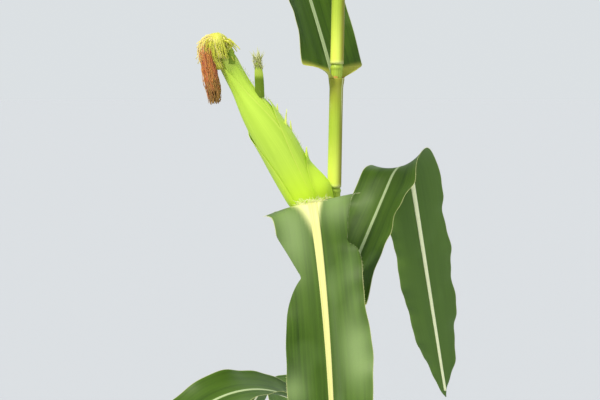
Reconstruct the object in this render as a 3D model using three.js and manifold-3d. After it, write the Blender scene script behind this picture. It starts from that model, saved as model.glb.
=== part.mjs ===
// A whole maize plant with its ear in silk, in millimetres, +Z up.
// The origin is the middle of the flat cut under the stalk, at ground level.
// Leaves stand in two ranks, odd ones towards -Y and even ones towards +Y.

import * as THREE from 'three';
import { mergeVertices } from 'three/addons/utils/BufferGeometryUtils.js';
import Module from 'manifold-3d';

const wasm = await Module();
wasm.setup();

// Clearances
const FIT = 0.3;
const SHEATH_FIT = 0.35;

// Stalk
const NODES = 15;
const FIRST_LEAF = 3;
const EAR_LEAF = 9;
const FIRST_NODE_HEIGHT = 20;
const LONGEST_INTERNODE = 182;
const INTERNODE_GROWTH = 4.2;
const INTERNODE_FALL = 0.055;
const INTERNODE_FALL_FROM = 10;
const PEDUNCLE = 212;
const STALK_FOOT_RADIUS = 12.6;
const STALK_TAPER = 6.6;
const STALK_TOP_TAPER = 1.7;
const STALK_SIDES = 12;
const LEAN = 6e-6;
const ZIGZAG = 1.4;
const ZIGZAG_FULL_FROM = 5;
const NODE_BULGE = 0.9;
const NODE_HALF_HEIGHT = 4;
const FOOT_FLARE = 3.2;
const FOOT_FLARE_HEIGHT = 14;

// Brace roots
const BRACE_WHORLS = [
  { node: 2, count: 7, reach: 44, turn: 12, radius: 2.7 },
  { node: 3, count: 8, reach: 72, turn: 33, radius: 3.1 },
];
const BRACE_SIDES = 6;
const BRACE_STEPS = 5;
const ROOT_SUNK = 5;
const ROOT_KNEE = 0.62;
const ROOT_SWELL = 1.25;
const ROOT_TAPER = 0.4;
const GROUND_CUT = 400;

// Sheaths
const SHEATH_WALL = 1.6;
const SHEATH_WRAP = 165;
const SHEATH_SIDES = 12;
const SHEATH_STATIONS = [0, 0.45, 0.9, 1];
const SHEATH_SEAT = 5.5;
const COLLAR_DROP = 8;
const COLLAR_FLARE = 1.7;
const FLAG_SHEATH = 118;

// Blades
const LONGEST_BLADE = 800;
const BLADE_LENGTH_SPREAD = 6.9;
const WIDEST_BLADE = 112;
const BLADE_WIDTH_SPREAD = 7.2;
const BLADE_TAPER = 3.4;
const COLLAR_WRAP = 80;
const COLLAR_BEND = 14;
const COLLAR_OPENS = 22;
const BLADE_WIDENS = 30;
const BLADE_CHANNEL = 32;
const TIP_CHANNEL = 18;
const KEEL = 5;
const KEEL_REACH = 0.2;
const BLADE_THICKNESS = 2.4;
const MARGIN_THICKNESS = 1.6;
const TIP_WIDTH = 5;
const RUFFLE = 5;
const RUFFLE_WAVE = 118;
const BLADE_COLUMNS = [-1, -0.6, -0.2, 0, 0.2, 0.6, 1];
const BASE_STATIONS = [0, 0.02, 0.04, 0.06, 0.12, 0.2, 0.29, 0.38, 0.47, 0.56, 0.65, 0.74, 0.83, 0.92, 1];
const TIP_STATIONS = [0, 0.14, 0.28, 0.42, 0.56, 0.7, 0.83, 0.93, 1];
const STEP = 1;

// Each leaf's turn from its rank, rise at the collar, fall at its tip, tilt aside and twist about
// its own midrib as it bends over, in degrees, and where along its blade it bends. A leaf with a
// taper stays broad for longer.
const HABIT = {
  3: { turn: 14, rise: 44, fall: -38, bend: [0.05, 0.8], tilt: 4 },
  4: { turn: -24, rise: 48, fall: -58, bend: [0.1, 0.75], tilt: -5, twist: 14 },
  5: { turn: -30, rise: 50, fall: -62, bend: [0.08, 0.72], tilt: 5, twist: -12 },
  6: { turn: 26, rise: 54, fall: -66, bend: [0.1, 0.7], tilt: 6, twist: -16 },
  7: { turn: -58, rise: 42, fall: -66, bend: [0.02, 0.55], tilt: -6 },
  8: { turn: -40, rise: 52, fall: -72, bend: [0.3, 0.43], tilt: 0, twist: -43, taper: 7.5 },
  9: { turn: 0, rise: 68, fall: -66, bend: [0, 0.15], tilt: 13, taper: 3 },
  10: { turn: 38, rise: 66, fall: -36, bend: [0.15, 1], tilt: -4 },
  11: { turn: 44, rise: 68, fall: -52, bend: [0.14, 0.86], tilt: 5, twist: 14 },
  12: { turn: -20, rise: 68, fall: -56, bend: [0.14, 0.8], tilt: 4, twist: -12 },
  13: { turn: -32, rise: 70, fall: -36, bend: [0.16, 0.95], tilt: -5, twist: 10 },
  14: { turn: 16, rise: 70, fall: -28, bend: [0.18, 1], tilt: -3 },
  15: { turn: 12, rise: 40, fall: -24, bend: [0.1, 1], tilt: 4 },
};
const SPLIT_AT = 0.46;

// The ear leaf: its sheath is a pocket round the foot of the ear
const POCKET_STATIONS = [0, 0.06, 0.16, 0.3, 0.45, 0.6, 0.75, 0.88, 1];
const POCKET_CENTRE = [-26, -9];
const POCKET_RADIUS = 50;
const POCKET_WRAP = 85;
const POCKET_DROP = 40;
const EAR_BLADE_LENGTH = 800;
const EAR_BLADE_WIDTH = 116;
const EAR_BLADE_PINCH = 88;
const EAR_BLADE_CHANNEL = 16;
const EAR_BLADE_SAG = -17;
const EAR_BLADE_UNTILT = 0.28;
const EAR_CURL = 15;
const EAR_CURL_DRAW = 0.3;

// Ear
const EAR_FOOT = [-21, -15];
const EAR_FOOT_DROP = 48;
const EAR_LENGTH = 300;
const EAR_LEAN = 28;
const EAR_FORWARD = 4;
const EAR_BOW = 6;
const EAR_SIDES = 14;
const EAR_PROFILE = [
  [0, 7], [0.03, 14], [0.08, 22], [0.15, 28], [0.24, 29.6], [0.42, 30], [0.54, 28.4],
  [0.64, 24.6], [0.76, 18], [0.84, 16], [0.94, 14.6], [1, 11],
];
const FLAGS = [
  { at: 0.68, side: 40, length: 70, width: 13, splay: -6 },
  { at: 0.91, side: 50, length: 30, width: 12, splay: 4 },
];
const FLAG_SUNK = 8;
const FLAG_INSET = 2;
const FLAG_TAPER = 1.6;
const FLAG_TIP = 1;
const FLAG_HALF_THICKNESS = [2.2, 1];
const SHANK_FOOT_RADIUS = 4.2;
const SHANK_RADIUS = 6.6;
const SHANK_RISE = 26;
const SHANK_SWELL = 2.4;
const SHANK_BEND = 11;

// Silk
const SILK_DROP = 88;
const SILK_REACH = 18.5;
const SILK_RADIUS = 8.6;

// Tassel
const SPIKE = 205;
const SPIKE_RADIUS = 4.6;
const RACHIS_RADIUS = 2.8;
const BRANCHES = 13;
const BRANCH_FIRST = 14;
const BRANCH_STEP = 8.5;
const BRANCH_LONGEST = 190;
const BRANCH_SHORTEST = 120;
const BRANCH_FOOT_RADIUS = 1.8;
const BRANCH_RADIUS = 3;
const BRANCH_RISE = { foot: 62, lowestTip: -6, highestTip: 40 };
const GOLDEN_ANGLE = 137.5;

// Colours and finish
const finish = (name, color, roughness) => {
  const material = new THREE.MeshStandardMaterial({ color, roughness, metalness: 0 });
  material.name = name;
  return material;
};
const STALK_GREEN = finish('stalk rind', '#a9c24c', 0.5);
const SHEATH_GREEN = finish('leaf sheath', '#c2da58', 0.5);
const BLADE_GREEN = finish('leaf blade', '#577a2f', 0.55);
const HUSK_GREEN = finish('husk', '#cdee5c', 0.55);
const SILK_RUST = finish('silk', '#9c6a35', 0.7);
const TASSEL_STRAW = finish('tassel', '#c3b46a', 0.7);

const radians = THREE.MathUtils.degToRad;
const mix = THREE.MathUtils.lerp;
const smooth = (from, to, x) => THREE.MathUtils.smoothstep(x, from, to);

// Height of node k: internodes lengthen up to the ear and shorten above it
function internode(k) {
  const grown = 1 - Math.exp(-((k / INTERNODE_GROWTH) ** 2));
  return LONGEST_INTERNODE * grown * (1 - INTERNODE_FALL * Math.max(0, k - INTERNODE_FALL_FROM));
}

function nodeHeight(k) {
  let height = FIRST_NODE_HEIGHT;
  for (let i = 1; i < k; i += 1) height += internode(i);
  return height;
}

const STALK_TOP = nodeHeight(NODES) + PEDUNCLE;

// The stalk's middle at height z: it leans to +X and steps towards each leaf in turn
function swayAt(k) {
  const side = k % 2 ? -1 : 1;
  return side * ZIGZAG * Math.min(1, k / ZIGZAG_FULL_FROM);
}

function stalkAxis(z) {
  let k = 0;
  while (k < NODES && z > nodeHeight(k + 1)) k += 1;
  const from = k ? nodeHeight(k) : 0;
  const to = k < NODES ? nodeHeight(k + 1) : STALK_TOP;
  const sway = mix(swayAt(k), swayAt(Math.min(k + 1, NODES)), (z - from) / (to - from));
  return new THREE.Vector3(LEAN * z * z, sway, z);
}

function stalkRadius(z) {
  const t = z / STALK_TOP;
  return STALK_FOOT_RADIUS - STALK_TAPER * t - STALK_TOP_TAPER * t ** 5;
}

// A closed solid through rings of equal count, each turning right-handed about the way they go.
// A fan closes a round end, a strip closes the end of a blade, whose ring goes along its
// lower face and back along its upper one. Each cell of a blade's upper face is parted along the
// same diagonal as the lower face's cell under it, so that a ruffled wall keeps its thickness.
function skin(rings, cap) {
  const count = rings[0].length;
  const positions = rings.flat().flatMap((p) => [p.x, p.y, p.z]);
  const index = [];
  for (let i = 0; i < rings.length - 1; i += 1) {
    for (let j = 0; j < count; j += 1) {
      const a = i * count + j;
      const b = i * count + ((j + 1) % count);
      const [c, d] = [b + count, a + count];
      if (cap === 'strip' && j >= count / 2) {
        index.push(a, b, d, b, c, d);
      } else {
        index.push(a, b, c, a, c, d);
      }
    }
  }
  const last = (rings.length - 1) * count;
  if (cap === 'fan') {
    for (let j = 1; j < count - 1; j += 1) {
      index.push(0, j + 1, j);
      index.push(last, last + j, last + j + 1);
    }
  } else {
    for (let j = 0; j < count / 2 - 1; j += 1) {
      const [a, b, c, d] = [j, j + 1, count - 2 - j, count - 1 - j];
      index.push(a, c, b, a, d, c);
      index.push(last + a, last + b, last + c, last + a, last + c, last + d);
    }
  }
  const geometry = new THREE.BufferGeometry();
  geometry.setAttribute('position', new THREE.Float32BufferAttribute(positions, 3));
  geometry.setIndex(index);
  geometry.computeVertexNormals();
  return geometry;
}

function sweep(points, steps, sides, radius) {
  const curve = new THREE.CatmullRomCurve3(points);
  const frames = curve.computeFrenetFrames(steps, false);
  const rings = [];
  for (let i = 0; i <= steps; i += 1) {
    const middle = curve.getPointAt(i / steps);
    const size = radius(i / steps);
    const ring = [];
    for (let j = 0; j < sides; j += 1) {
      const angle = (2 * Math.PI * j) / sides;
      const spoke = frames.normals[i].clone().multiplyScalar(size * Math.cos(angle));
      spoke.addScaledVector(frames.binormals[i], size * Math.sin(angle));
      ring.push(middle.clone().add(spoke));
    }
    rings.push(ring);
  }
  return skin(rings, 'fan');
}

// Joins and cuts
function toManifold(geometry) {
  const bare = geometry.clone();
  bare.deleteAttribute('normal');
  bare.deleteAttribute('uv');
  const merged = mergeVertices(bare);
  return new wasm.Manifold(new wasm.Mesh({
    numProp: 3,
    vertProperties: new Float32Array(merged.attributes.position.array),
    triVerts: new Uint32Array(merged.index.array),
  }));
}

function fromManifold(solid) {
  const mesh = solid.getMesh();
  const geometry = new THREE.BufferGeometry();
  geometry.setAttribute('position', new THREE.BufferAttribute(mesh.vertProperties, 3));
  geometry.setIndex(new THREE.BufferAttribute(mesh.triVerts, 1));
  geometry.computeVertexNormals();
  return geometry;
}

const join = (geometries) => geometries.map(toManifold).reduce((a, b) => a.add(b));

// Stalk with a ring at each node, a flare at its foot and two whorls of brace roots
function stalkRing(z, extra) {
  const middle = stalkAxis(z);
  const size = stalkRadius(z) + extra;
  const ring = [];
  for (let j = 0; j < STALK_SIDES; j += 1) {
    const angle = (2 * Math.PI * j) / STALK_SIDES;
    ring.push(new THREE.Vector3(size * Math.cos(angle), size * Math.sin(angle), 0).add(middle));
  }
  return ring;
}

function braceRoot(whorl, number) {
  const angle = radians(whorl.turn + (360 * number) / whorl.count);
  const top = nodeHeight(whorl.node) - NODE_HALF_HEIGHT;
  const out = new THREE.Vector3(Math.cos(angle), Math.sin(angle), 0);
  const start = out.clone().multiplyScalar(stalkRadius(top) - ROOT_SUNK).setZ(top);
  const knee = out.clone().multiplyScalar(whorl.reach * ROOT_KNEE).setZ(top * ROOT_KNEE);
  const foot = out.clone().multiplyScalar(whorl.reach).setZ(-whorl.radius * 2);
  const size = (t) => whorl.radius * (ROOT_SWELL - ROOT_TAPER * t);
  return sweep([start, knee, foot], BRACE_STEPS, BRACE_SIDES, size);
}

function stalk() {
  const rings = [stalkRing(0, FOOT_FLARE), stalkRing(FOOT_FLARE_HEIGHT, FOOT_FLARE * 0.2)];
  for (let k = 1; k <= NODES; k += 1) {
    const z = nodeHeight(k);
    if (k > 2) rings.push(stalkRing(z - NODE_HALF_HEIGHT, 0));
    rings.push(stalkRing(z, NODE_BULGE));
    if (k > 1) rings.push(stalkRing(z + NODE_HALF_HEIGHT, 0));
  }
  rings.push(stalkRing(STALK_TOP, 0));
  let solid = toManifold(skin(rings, 'fan'));
  for (const whorl of BRACE_WHORLS) {
    for (let i = 0; i < whorl.count; i += 1) solid = solid.add(toManifold(braceRoot(whorl, i)));
  }
  const above = new THREE.BoxGeometry(GROUND_CUT, GROUND_CUT, 2 * STALK_TOP);
  above.translate(0, 0, STALK_TOP);
  return fromManifold(solid.intersect(toManifold(above)));
}

// Leaf: where its sheath starts, where its collar is, and the sizes of its blade
function leafPlan(k) {
  const habit = HABIT[k];
  const isEarLeaf = k === EAR_LEAF;
  const side = k % 2 ? -90 : 90;
  const seat = nodeHeight(k) + SHEATH_SEAT;
  const drop = isEarLeaf ? POCKET_DROP : COLLAR_DROP;
  const collar = k < NODES ? nodeHeight(k + 1) - drop : seat + FLAG_SHEATH;
  const length = isEarLeaf
    ? EAR_BLADE_LENGTH
    : LONGEST_BLADE * Math.exp(-(((k - EAR_LEAF) / BLADE_LENGTH_SPREAD) ** 2));
  const width = isEarLeaf
    ? EAR_BLADE_WIDTH
    : WIDEST_BLADE * Math.exp(-(((k - EAR_LEAF - 1) / BLADE_WIDTH_SPREAD) ** 2));
  return { k, isEarLeaf, azimuth: radians(side + habit.turn), seat, collar, length, width, ...habit };
}

// An arc-shaped section of a leaf about a place on its midrib: B points across, N out of the
// upper face. The lower face lies a thickness away, and a lift moves both along the face.
function leafSection(place, { radius, wrap, columns, thickness, lift = () => 0 }) {
  const upper = [];
  const lower = [];
  for (const u of columns) {
    const angle = u * wrap;
    const face = place.N.clone().multiplyScalar(Math.cos(angle)).addScaledVector(place.B, -Math.sin(angle));
    const at = place.point.clone().addScaledVector(place.B, radius * Math.sin(angle));
    at.addScaledVector(place.N, radius * (1 - Math.cos(angle)));
    at.addScaledVector(face, lift(u));
    upper.push(at);
    lower.push(at.clone().addScaledVector(face, -thickness(u)));
  }
  return [...lower, ...upper.reverse()];
}

// Axes of a leaf section that goes up at the given rise and leans aside by a tilt, both in radians
function leafAxes(azimuth, rise, tilt) {
  const out = new THREE.Vector3(Math.cos(azimuth), Math.sin(azimuth), 0);
  const across = new THREE.Vector3(-out.y, out.x, 0);
  const up = across.clone().multiplyScalar(-Math.sin(tilt)).setZ(Math.cos(tilt));
  const T = out.clone().multiplyScalar(Math.cos(rise)).addScaledVector(up, Math.sin(rise));
  const B = across.multiplyScalar(Math.cos(tilt)).setZ(Math.sin(tilt));
  return { out, T, B, N: T.clone().cross(B) };
}

// The sheath at a share q of its height: an arc round the stalk, or round the ear's pocket
function sheathPlace(plan, q) {
  const z = mix(plan.seat, plan.collar, q);
  const open = plan.isEarLeaf ? q : 0;
  const turned = plan.isEarLeaf ? smooth(0.2, 1, q) : 0;
  const chord = Math.cos(radians(SHEATH_WRAP) / SHEATH_SIDES);
  const flare = COLLAR_FLARE * smooth(0.9, 1, q);
  const radius = mix((stalkRadius(z) + SHEATH_FIT + flare) / chord, POCKET_RADIUS, open);
  const rise = radians(mix(90, plan.rise, turned));
  const axes = leafAxes(plan.azimuth, rise, radians(plan.tilt * turned));
  const point = stalkAxis(z).addScaledVector(axes.out, radius);
  point.x += open * POCKET_CENTRE[0];
  point.y += open * POCKET_CENTRE[1];
  const unwrapped = plan.isEarLeaf ? smooth(0.1, 0.7, q) : 0;
  return { ...axes, point, radius, wrap: radians(mix(SHEATH_WRAP, POCKET_WRAP, unwrapped)) };
}

function sheath(plan) {
  const columns = Array.from({ length: SHEATH_SIDES + 1 }, (_, j) => (2 * j) / SHEATH_SIDES - 1);
  const rings = (plan.isEarLeaf ? POCKET_STATIONS : SHEATH_STATIONS).map((q) => {
    const place = sheathPlace(plan, q);
    return leafSection(place, { ...place, columns, thickness: () => SHEATH_WALL });
  });
  return skin(rings, 'strip');
}

// The blade's midrib, walked from the collar: it rises, bends over, twists and falls
function midrib(plan) {
  const { point } = sheathPlace(plan, 1);
  const walk = [];
  for (let d = 0; d <= plan.length; d += STEP) {
    const t = d / plan.length;
    const start = plan.isEarLeaf ? plan.rise : mix(90, plan.rise, smooth(0, COLLAR_BEND, d));
    const sag = plan.isEarLeaf ? EAR_BLADE_SAG * smooth(0.1, 0.7, t) : 0;
    const rise = mix(start, plan.fall, smooth(plan.bend[0], plan.bend[1], t)) + sag;
    const tilt = plan.tilt * (plan.isEarLeaf ? Math.exp(-t / EAR_BLADE_UNTILT) : smooth(0, 0.3, t));
    const axes = leafAxes(plan.azimuth, radians(rise), radians(tilt));
    const turned = radians(plan.twist ?? 0) * smooth(plan.bend[0], plan.bend[1], t);
    axes.B.applyAxisAngle(axes.T, turned);
    axes.N.applyAxisAngle(axes.T, turned);
    walk.push({ ...axes, d, t, point: point.clone() });
    point.addScaledVector(axes.T, STEP);
  }
  return walk;
}

// Width and half angle of the blade's arc
function bladeWidth(plan, t) {
  const place = sheathPlace(plan, 1);
  const atCollar = 2 * place.radius * radians(plan.isEarLeaf ? POCKET_WRAP : COLLAR_WRAP);
  const taper = (1 - t ** (plan.taper ?? BLADE_TAPER)) ** 1.15;
  const neck = plan.isEarLeaf ? mix(atCollar, EAR_BLADE_PINCH, smooth(0, 0.21, t)) : atCollar;
  const widening = plan.isEarLeaf
    ? smooth(0.19, 0.35, t)
    : smooth(0, BLADE_WIDENS, t * plan.length);
  return mix(neck, plan.width, widening) * taper + TIP_WIDTH * t;
}

function bladeChannel(plan, t) {
  if (plan.isEarLeaf) return radians(mix(POCKET_WRAP, EAR_BLADE_CHANNEL, smooth(0, 0.08, t)));
  const opened = mix(COLLAR_WRAP, BLADE_CHANNEL, smooth(0, COLLAR_OPENS, t * plan.length));
  return radians(mix(opened, TIP_CHANNEL, smooth(0.2, 1, t)));
}

function bladeThickness(u, t) {
  const away = Math.abs(u);
  const keel = (KEEL - BLADE_THICKNESS) * Math.max(0, 1 - away / KEEL_REACH);
  return mix(BLADE_THICKNESS, MARGIN_THICKNESS, away) + keel * (1 - 0.25 * t);
}

// The ear leaf's left margin rolls under below the bend
function marginCurl(plan, t) {
  return plan.isEarLeaf ? smooth(0.12, 0.21, t) * (1 - smooth(0.22, 0.3, t)) : 0;
}

function blade(plan, from, to, stations) {
  const walk = midrib(plan);
  const rings = stations.map((share) => {
    const d = mix(from, to, share);
    const place = walk[Math.min(walk.length - 1, Math.round(d / STEP))];
    const { t } = place;
    const wave = Math.sin((2 * Math.PI * place.d) / RUFFLE_WAVE + plan.k);
    const ruffle = RUFFLE * smooth(0.1, 0.3, t) * wave;
    const curl = marginCurl(plan, t);
    const wrap = bladeChannel(plan, t);
    return leafSection(place, {
      radius: bladeWidth(plan, t) / 2 / wrap,
      wrap,
      columns: BLADE_COLUMNS.map((u) => (u < 0 ? u * (1 - EAR_CURL_DRAW * curl) : u)),
      thickness: (u) => bladeThickness(u, t),
      lift: (u) => ruffle * u * Math.abs(u) - (u < 0 ? EAR_CURL * curl * u * u : 0),
    });
  });
  return skin(rings, 'strip');
}

// Ear: overlapping husks as one bowed spindle, with the free blades of two husks
function earAxis() {
  const node = nodeHeight(EAR_LEAF + 1);
  const foot = stalkAxis(node).add(new THREE.Vector3(EAR_FOOT[0], EAR_FOOT[1], 0));
  foot.z = node - EAR_FOOT_DROP;
  const lean = radians(EAR_LEAN);
  const forward = radians(EAR_FORWARD);
  const along = new THREE.Vector3(-Math.sin(lean), -Math.sin(forward), Math.cos(lean)).normalize();
  const left = new THREE.Vector3(-Math.cos(lean), 0, -Math.sin(lean));
  const front = along.clone().cross(left).normalize();
  return { foot, along, left: front.clone().cross(along), front };
}

const EAR_FRAME = earAxis();

function earPoint(share) {
  const bow = EAR_BOW * smooth(0.4, 0.8, share);
  const at = EAR_FRAME.foot.clone().addScaledVector(EAR_FRAME.along, EAR_LENGTH * share);
  return at.addScaledVector(EAR_FRAME.left, bow);
}

function earRadius(share) {
  const next = EAR_PROFILE.findIndex(([at]) => at >= share);
  const [[from, below], [to, above]] = EAR_PROFILE.slice(next - 1, next + 1);
  return mix(below, above, (share - from) / (to - from));
}

function earRing([share, size]) {
  const ring = [];
  for (let j = 0; j < EAR_SIDES; j += 1) {
    const angle = (2 * Math.PI * j) / EAR_SIDES;
    const at = earPoint(share).addScaledVector(EAR_FRAME.left, size * Math.cos(angle));
    ring.push(at.addScaledVector(EAR_FRAME.front, size * Math.sin(angle)));
  }
  return ring;
}

// A husk's free blade stands up from the ear's right flank, round from it towards the front by
// its side in degrees
function flag({ at, side, length, width, splay }) {
  const angle = radians(side);
  const spoke = EAR_FRAME.left.clone().multiplyScalar(-Math.cos(angle));
  spoke.addScaledVector(EAR_FRAME.front, Math.sin(angle));
  const root = earPoint(at).addScaledVector(spoke, earRadius(at) - FLAG_INSET);
  const rings = [];
  for (const t of [0, 0.25, 0.5, 0.75, 1]) {
    const half = (width / 2) * (1 - t ** FLAG_TAPER) + FLAG_TIP;
    const middle = root.clone().add(new THREE.Vector3(splay * t * t, 0, length * t - FLAG_SUNK));
    const thick = mix(...FLAG_HALF_THICKNESS, t);
    const corner = (x, y) => middle.clone().add(new THREE.Vector3(x, y, 0));
    rings.push([corner(-half, thick), corner(-half, -thick), corner(half, -thick), corner(half, thick)]);
  }
  return skin(rings, 'fan');
}

function earHusks() {
  return fromManifold(join([skin(EAR_PROFILE.map(earRing), 'fan'), ...FLAGS.map(flag)]));
}

function shank() {
  const z = nodeHeight(EAR_LEAF) + SHANK_RISE;
  const foot = stalkAxis(z);
  foot.x -= stalkRadius(z) + SHANK_FOOT_RADIUS + FIT;
  const end = EAR_FRAME.foot.clone().addScaledVector(EAR_FRAME.along, -FIT);
  const swell = foot.clone().add(new THREE.Vector3(-SHANK_SWELL, -3, 28));
  const bend = end.clone().addScaledVector(EAR_FRAME.along, -SHANK_BEND);
  const neck = bend.clone().add(new THREE.Vector3(0, 3, -SHANK_BEND * 1.6));
  const size = (t) => mix(SHANK_FOOT_RADIUS, SHANK_RADIUS, smooth(0, 0.6, t));
  return sweep([foot, swell, neck, bend, end], 9, 8, size);
}

// Silk: one lock that leaves the ear's tip, turns over it and hangs at its left
function silk() {
  const tip = earPoint(1).addScaledVector(EAR_FRAME.along, FIT);
  const from = (x, y, z) => tip.clone().add(new THREE.Vector3(x, y, z));
  const points = [
    tip,
    from(-0.2 * SILK_REACH, -1, 7),
    from(-0.7 * SILK_REACH, -6, 8),
    from(-0.95 * SILK_REACH, -10, -8),
    from(-0.68 * SILK_REACH, -10, -0.45 * SILK_DROP),
    from(-0.25 * SILK_REACH, -11, -SILK_DROP),
  ];
  const size = (t) => SILK_RADIUS * (0.55 + 0.45 * smooth(0.05, 0.3, t)) * (1 - 0.25 * smooth(0.85, 1, t));
  return sweep(points, 14, 8, size);
}

// Tassel: a central spike over spreading side branches
function tassel() {
  const foot = stalkAxis(STALK_TOP);
  foot.z += FIT;
  const top = foot.clone().add(new THREE.Vector3(LEAN * 2 * STALK_TOP * SPIKE, 0, SPIKE));
  const fattened = (t) => mix(RACHIS_RADIUS, SPIKE_RADIUS, smooth(0.5, 0.6, t)) * (1 - 0.7 * t ** 4);
  const pieces = [sweep([foot, foot.clone().lerp(top, 0.5), top], 10, 6, fattened)];
  for (let i = 0; i < BRANCHES; i += 1) {
    const share = i / (BRANCHES - 1);
    const angle = radians(GOLDEN_ANGLE * i);
    const out = new THREE.Vector3(Math.cos(angle), Math.sin(angle), 0);
    const length = mix(BRANCH_LONGEST, BRANCH_SHORTEST, share);
    const start = foot.clone().lerp(top, (BRANCH_FIRST + BRANCH_STEP * i) / SPIKE);
    const points = [start];
    for (const t of [0.25, 0.5, 0.75, 1]) {
      const tipRise = mix(BRANCH_RISE.lowestTip, BRANCH_RISE.highestTip, share);
      const rise = radians(mix(BRANCH_RISE.foot, tipRise, t));
      const step = out.clone().multiplyScalar(Math.cos(rise)).setZ(Math.sin(rise));
      points.push(points.at(-1).clone().addScaledVector(step, length / 4));
    }
    const spikelets = (t) => mix(BRANCH_FOOT_RADIUS, BRANCH_RADIUS, smooth(0, 0.3, t)) * (1 - 0.6 * t ** 3);
    pieces.push(sweep(points, 6, 5, spikelets));
  }
  return fromManifold(join(pieces));
}

// Assembly
const group = new THREE.Group();
group.name = 'maize_plant';

function add(name, geometry, material) {
  const mesh = new THREE.Mesh(geometry, material);
  mesh.name = name;
  group.add(mesh);
}

add('stalk', stalk(), STALK_GREEN);
for (let k = FIRST_LEAF; k <= NODES; k += 1) {
  const plan = leafPlan(k);
  const label = String(k).padStart(2, '0');
  const split = plan.length * SPLIT_AT;
  add(`sheath_${label}`, sheath(plan), SHEATH_GREEN);
  add(`leaf_${label}_base`, blade(plan, FIT, split, BASE_STATIONS), BLADE_GREEN);
  add(`leaf_${label}_tip`, blade(plan, split + 1, plan.length, TIP_STATIONS), BLADE_GREEN);
}
add('ear_shank', shank(), STALK_GREEN);
add('ear_husks', earHusks(), HUSK_GREEN);
add('silk', silk(), SILK_RUST);
add('tassel', tassel(), TASSEL_STRAW);

export default group;
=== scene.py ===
"""A whole maize plant in silk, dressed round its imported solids.

Sizes are in millimetres, as in the part, and turn to metres when a mesh is made.
Every surface is a grid of closed rings worked out as whole arrays: the last axis holds x, y
and z, the one before it the points of a ring, and the one before that the rings of a piece.
Leaves stand in two ranks, odd ones towards -Y and even ones towards +Y.
"""

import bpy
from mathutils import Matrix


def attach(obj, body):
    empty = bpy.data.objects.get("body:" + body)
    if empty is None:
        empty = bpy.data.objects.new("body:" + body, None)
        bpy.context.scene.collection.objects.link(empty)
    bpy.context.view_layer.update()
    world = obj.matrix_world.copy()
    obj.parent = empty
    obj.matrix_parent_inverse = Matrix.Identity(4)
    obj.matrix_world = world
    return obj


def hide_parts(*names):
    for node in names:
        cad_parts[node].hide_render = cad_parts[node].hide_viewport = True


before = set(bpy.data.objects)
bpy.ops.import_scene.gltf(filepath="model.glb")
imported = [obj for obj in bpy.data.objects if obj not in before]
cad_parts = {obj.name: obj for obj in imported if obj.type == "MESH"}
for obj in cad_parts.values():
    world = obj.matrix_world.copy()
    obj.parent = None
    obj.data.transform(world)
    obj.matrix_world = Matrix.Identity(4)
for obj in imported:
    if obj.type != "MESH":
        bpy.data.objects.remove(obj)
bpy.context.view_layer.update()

from types import SimpleNamespace

import bpy
import numpy as np
from mathutils import Vector

MM = 0.001
X, Y, Z = np.eye(3)
RANDOM = np.random.default_rng(9)

# Stalk
FIT = 0.3
NODES = 15
FIRST_LEAF = 3
EAR_LEAF = 9
FIRST_NODE_HEIGHT = 20
LONGEST_INTERNODE = 182
INTERNODE_GROWTH = 4.2
INTERNODE_FALL = 0.055
INTERNODE_FALL_FROM = 10
PEDUNCLE = 212
STALK_FOOT_RADIUS = 12.6
STALK_TAPER = 6.6
STALK_TOP_TAPER = 1.7
STALK_SIDES = 72
STALK_RIBS = 18
RIB_HEIGHT = 0.1
LEAN = 6e-6
ZIGZAG = 1.4
ZIGZAG_FULL_FROM = 5
NODE_BULGE = 0.9
NODE_BULGE_WIDTH = 2.6
NODE_GROOVE = 0.5
NODE_GROOVE_WIDTH = 0.9
NODE_HALF_HEIGHT = 4
FOOT_FLARE = 3.2
ROOT_SUNK = 5
ROOT_KNEE = 0.62
ROOT_SWELL = 1.25
ROOT_TAPER = 0.4
# Each whorl's node and number of roots, how far they reach, their turn and their radius
BRACE_WHORLS = [(2, 7, 44, 12, 2.7), (3, 8, 72, 33, 3.1)]

# Sheaths
SHEATH_FIT = 0.35
SHEATH_WRAP = 165
OVERLAPPED_WRAP = 192
SHEATH_WALL = 1.1
SHEATH_MARGIN = 0.35
SHEATH_SEAT = 5.5
COLLAR_DROP = 8
COLLAR_FLARE = 1.7
FLAG_SHEATH = 118
POCKET_CENTRE = (-26, -9)
POCKET_RADIUS = 50
POCKET_WRAP = 85
POCKET_DROP = 40
# Height over which a sheath's foot is pale, over which it is young and yellow, and how far each
# sheath's pattern is moved on from the last
PALE_FOOT = 7
YOUNG_FOOT = 95
SHEATH_PATTERN_STEP = 37

# Blades
LONGEST_BLADE = 800
BLADE_LENGTH_SPREAD = 6.9
WIDEST_BLADE = 112
BLADE_WIDTH_SPREAD = 7.2
BLADE_TAPER = 3.4
BLADE_POINT = 1.15
COLLAR_WRAP = 118
COLLAR_BEND = 14
COLLAR_OPENS = 17
BLADE_WIDENS = 19
BLADE_CHANNEL = 32
TIP_CHANNEL = 18
BLADE_THICKNESS = 0.9
MARGIN_THICKNESS = 0.45
TIP_THINNING = 0.6
TIP_WIDTH = 1
CLOSE_TO_MARGIN = 0.985
MARGIN_PALENESS = 0.6
RUFFLE = 5
RUFFLE_WAVE = 118
RIPPLE = 1.5
RIPPLE_WAVES = (47, 39)
AURICLE_FLARE = 9
AURICLE_GROWS = 9
AURICLE_FADES = (16, 75)
EAR_BLADE_LENGTH = 800
EAR_BLADE_WIDTH = 118
EAR_BLADE_NECK = 108
EAR_BLADE_NECK_BY = 0.15
EAR_BLADE_WIDENS = (0.25, 0.36)
EAR_BLADE_CHANNEL = 16
EAR_BLADE_CHANNEL_BY = 0.055
EAR_BLADE_SAG = -17
EAR_BLADE_UNTILT = 0.28
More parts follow.
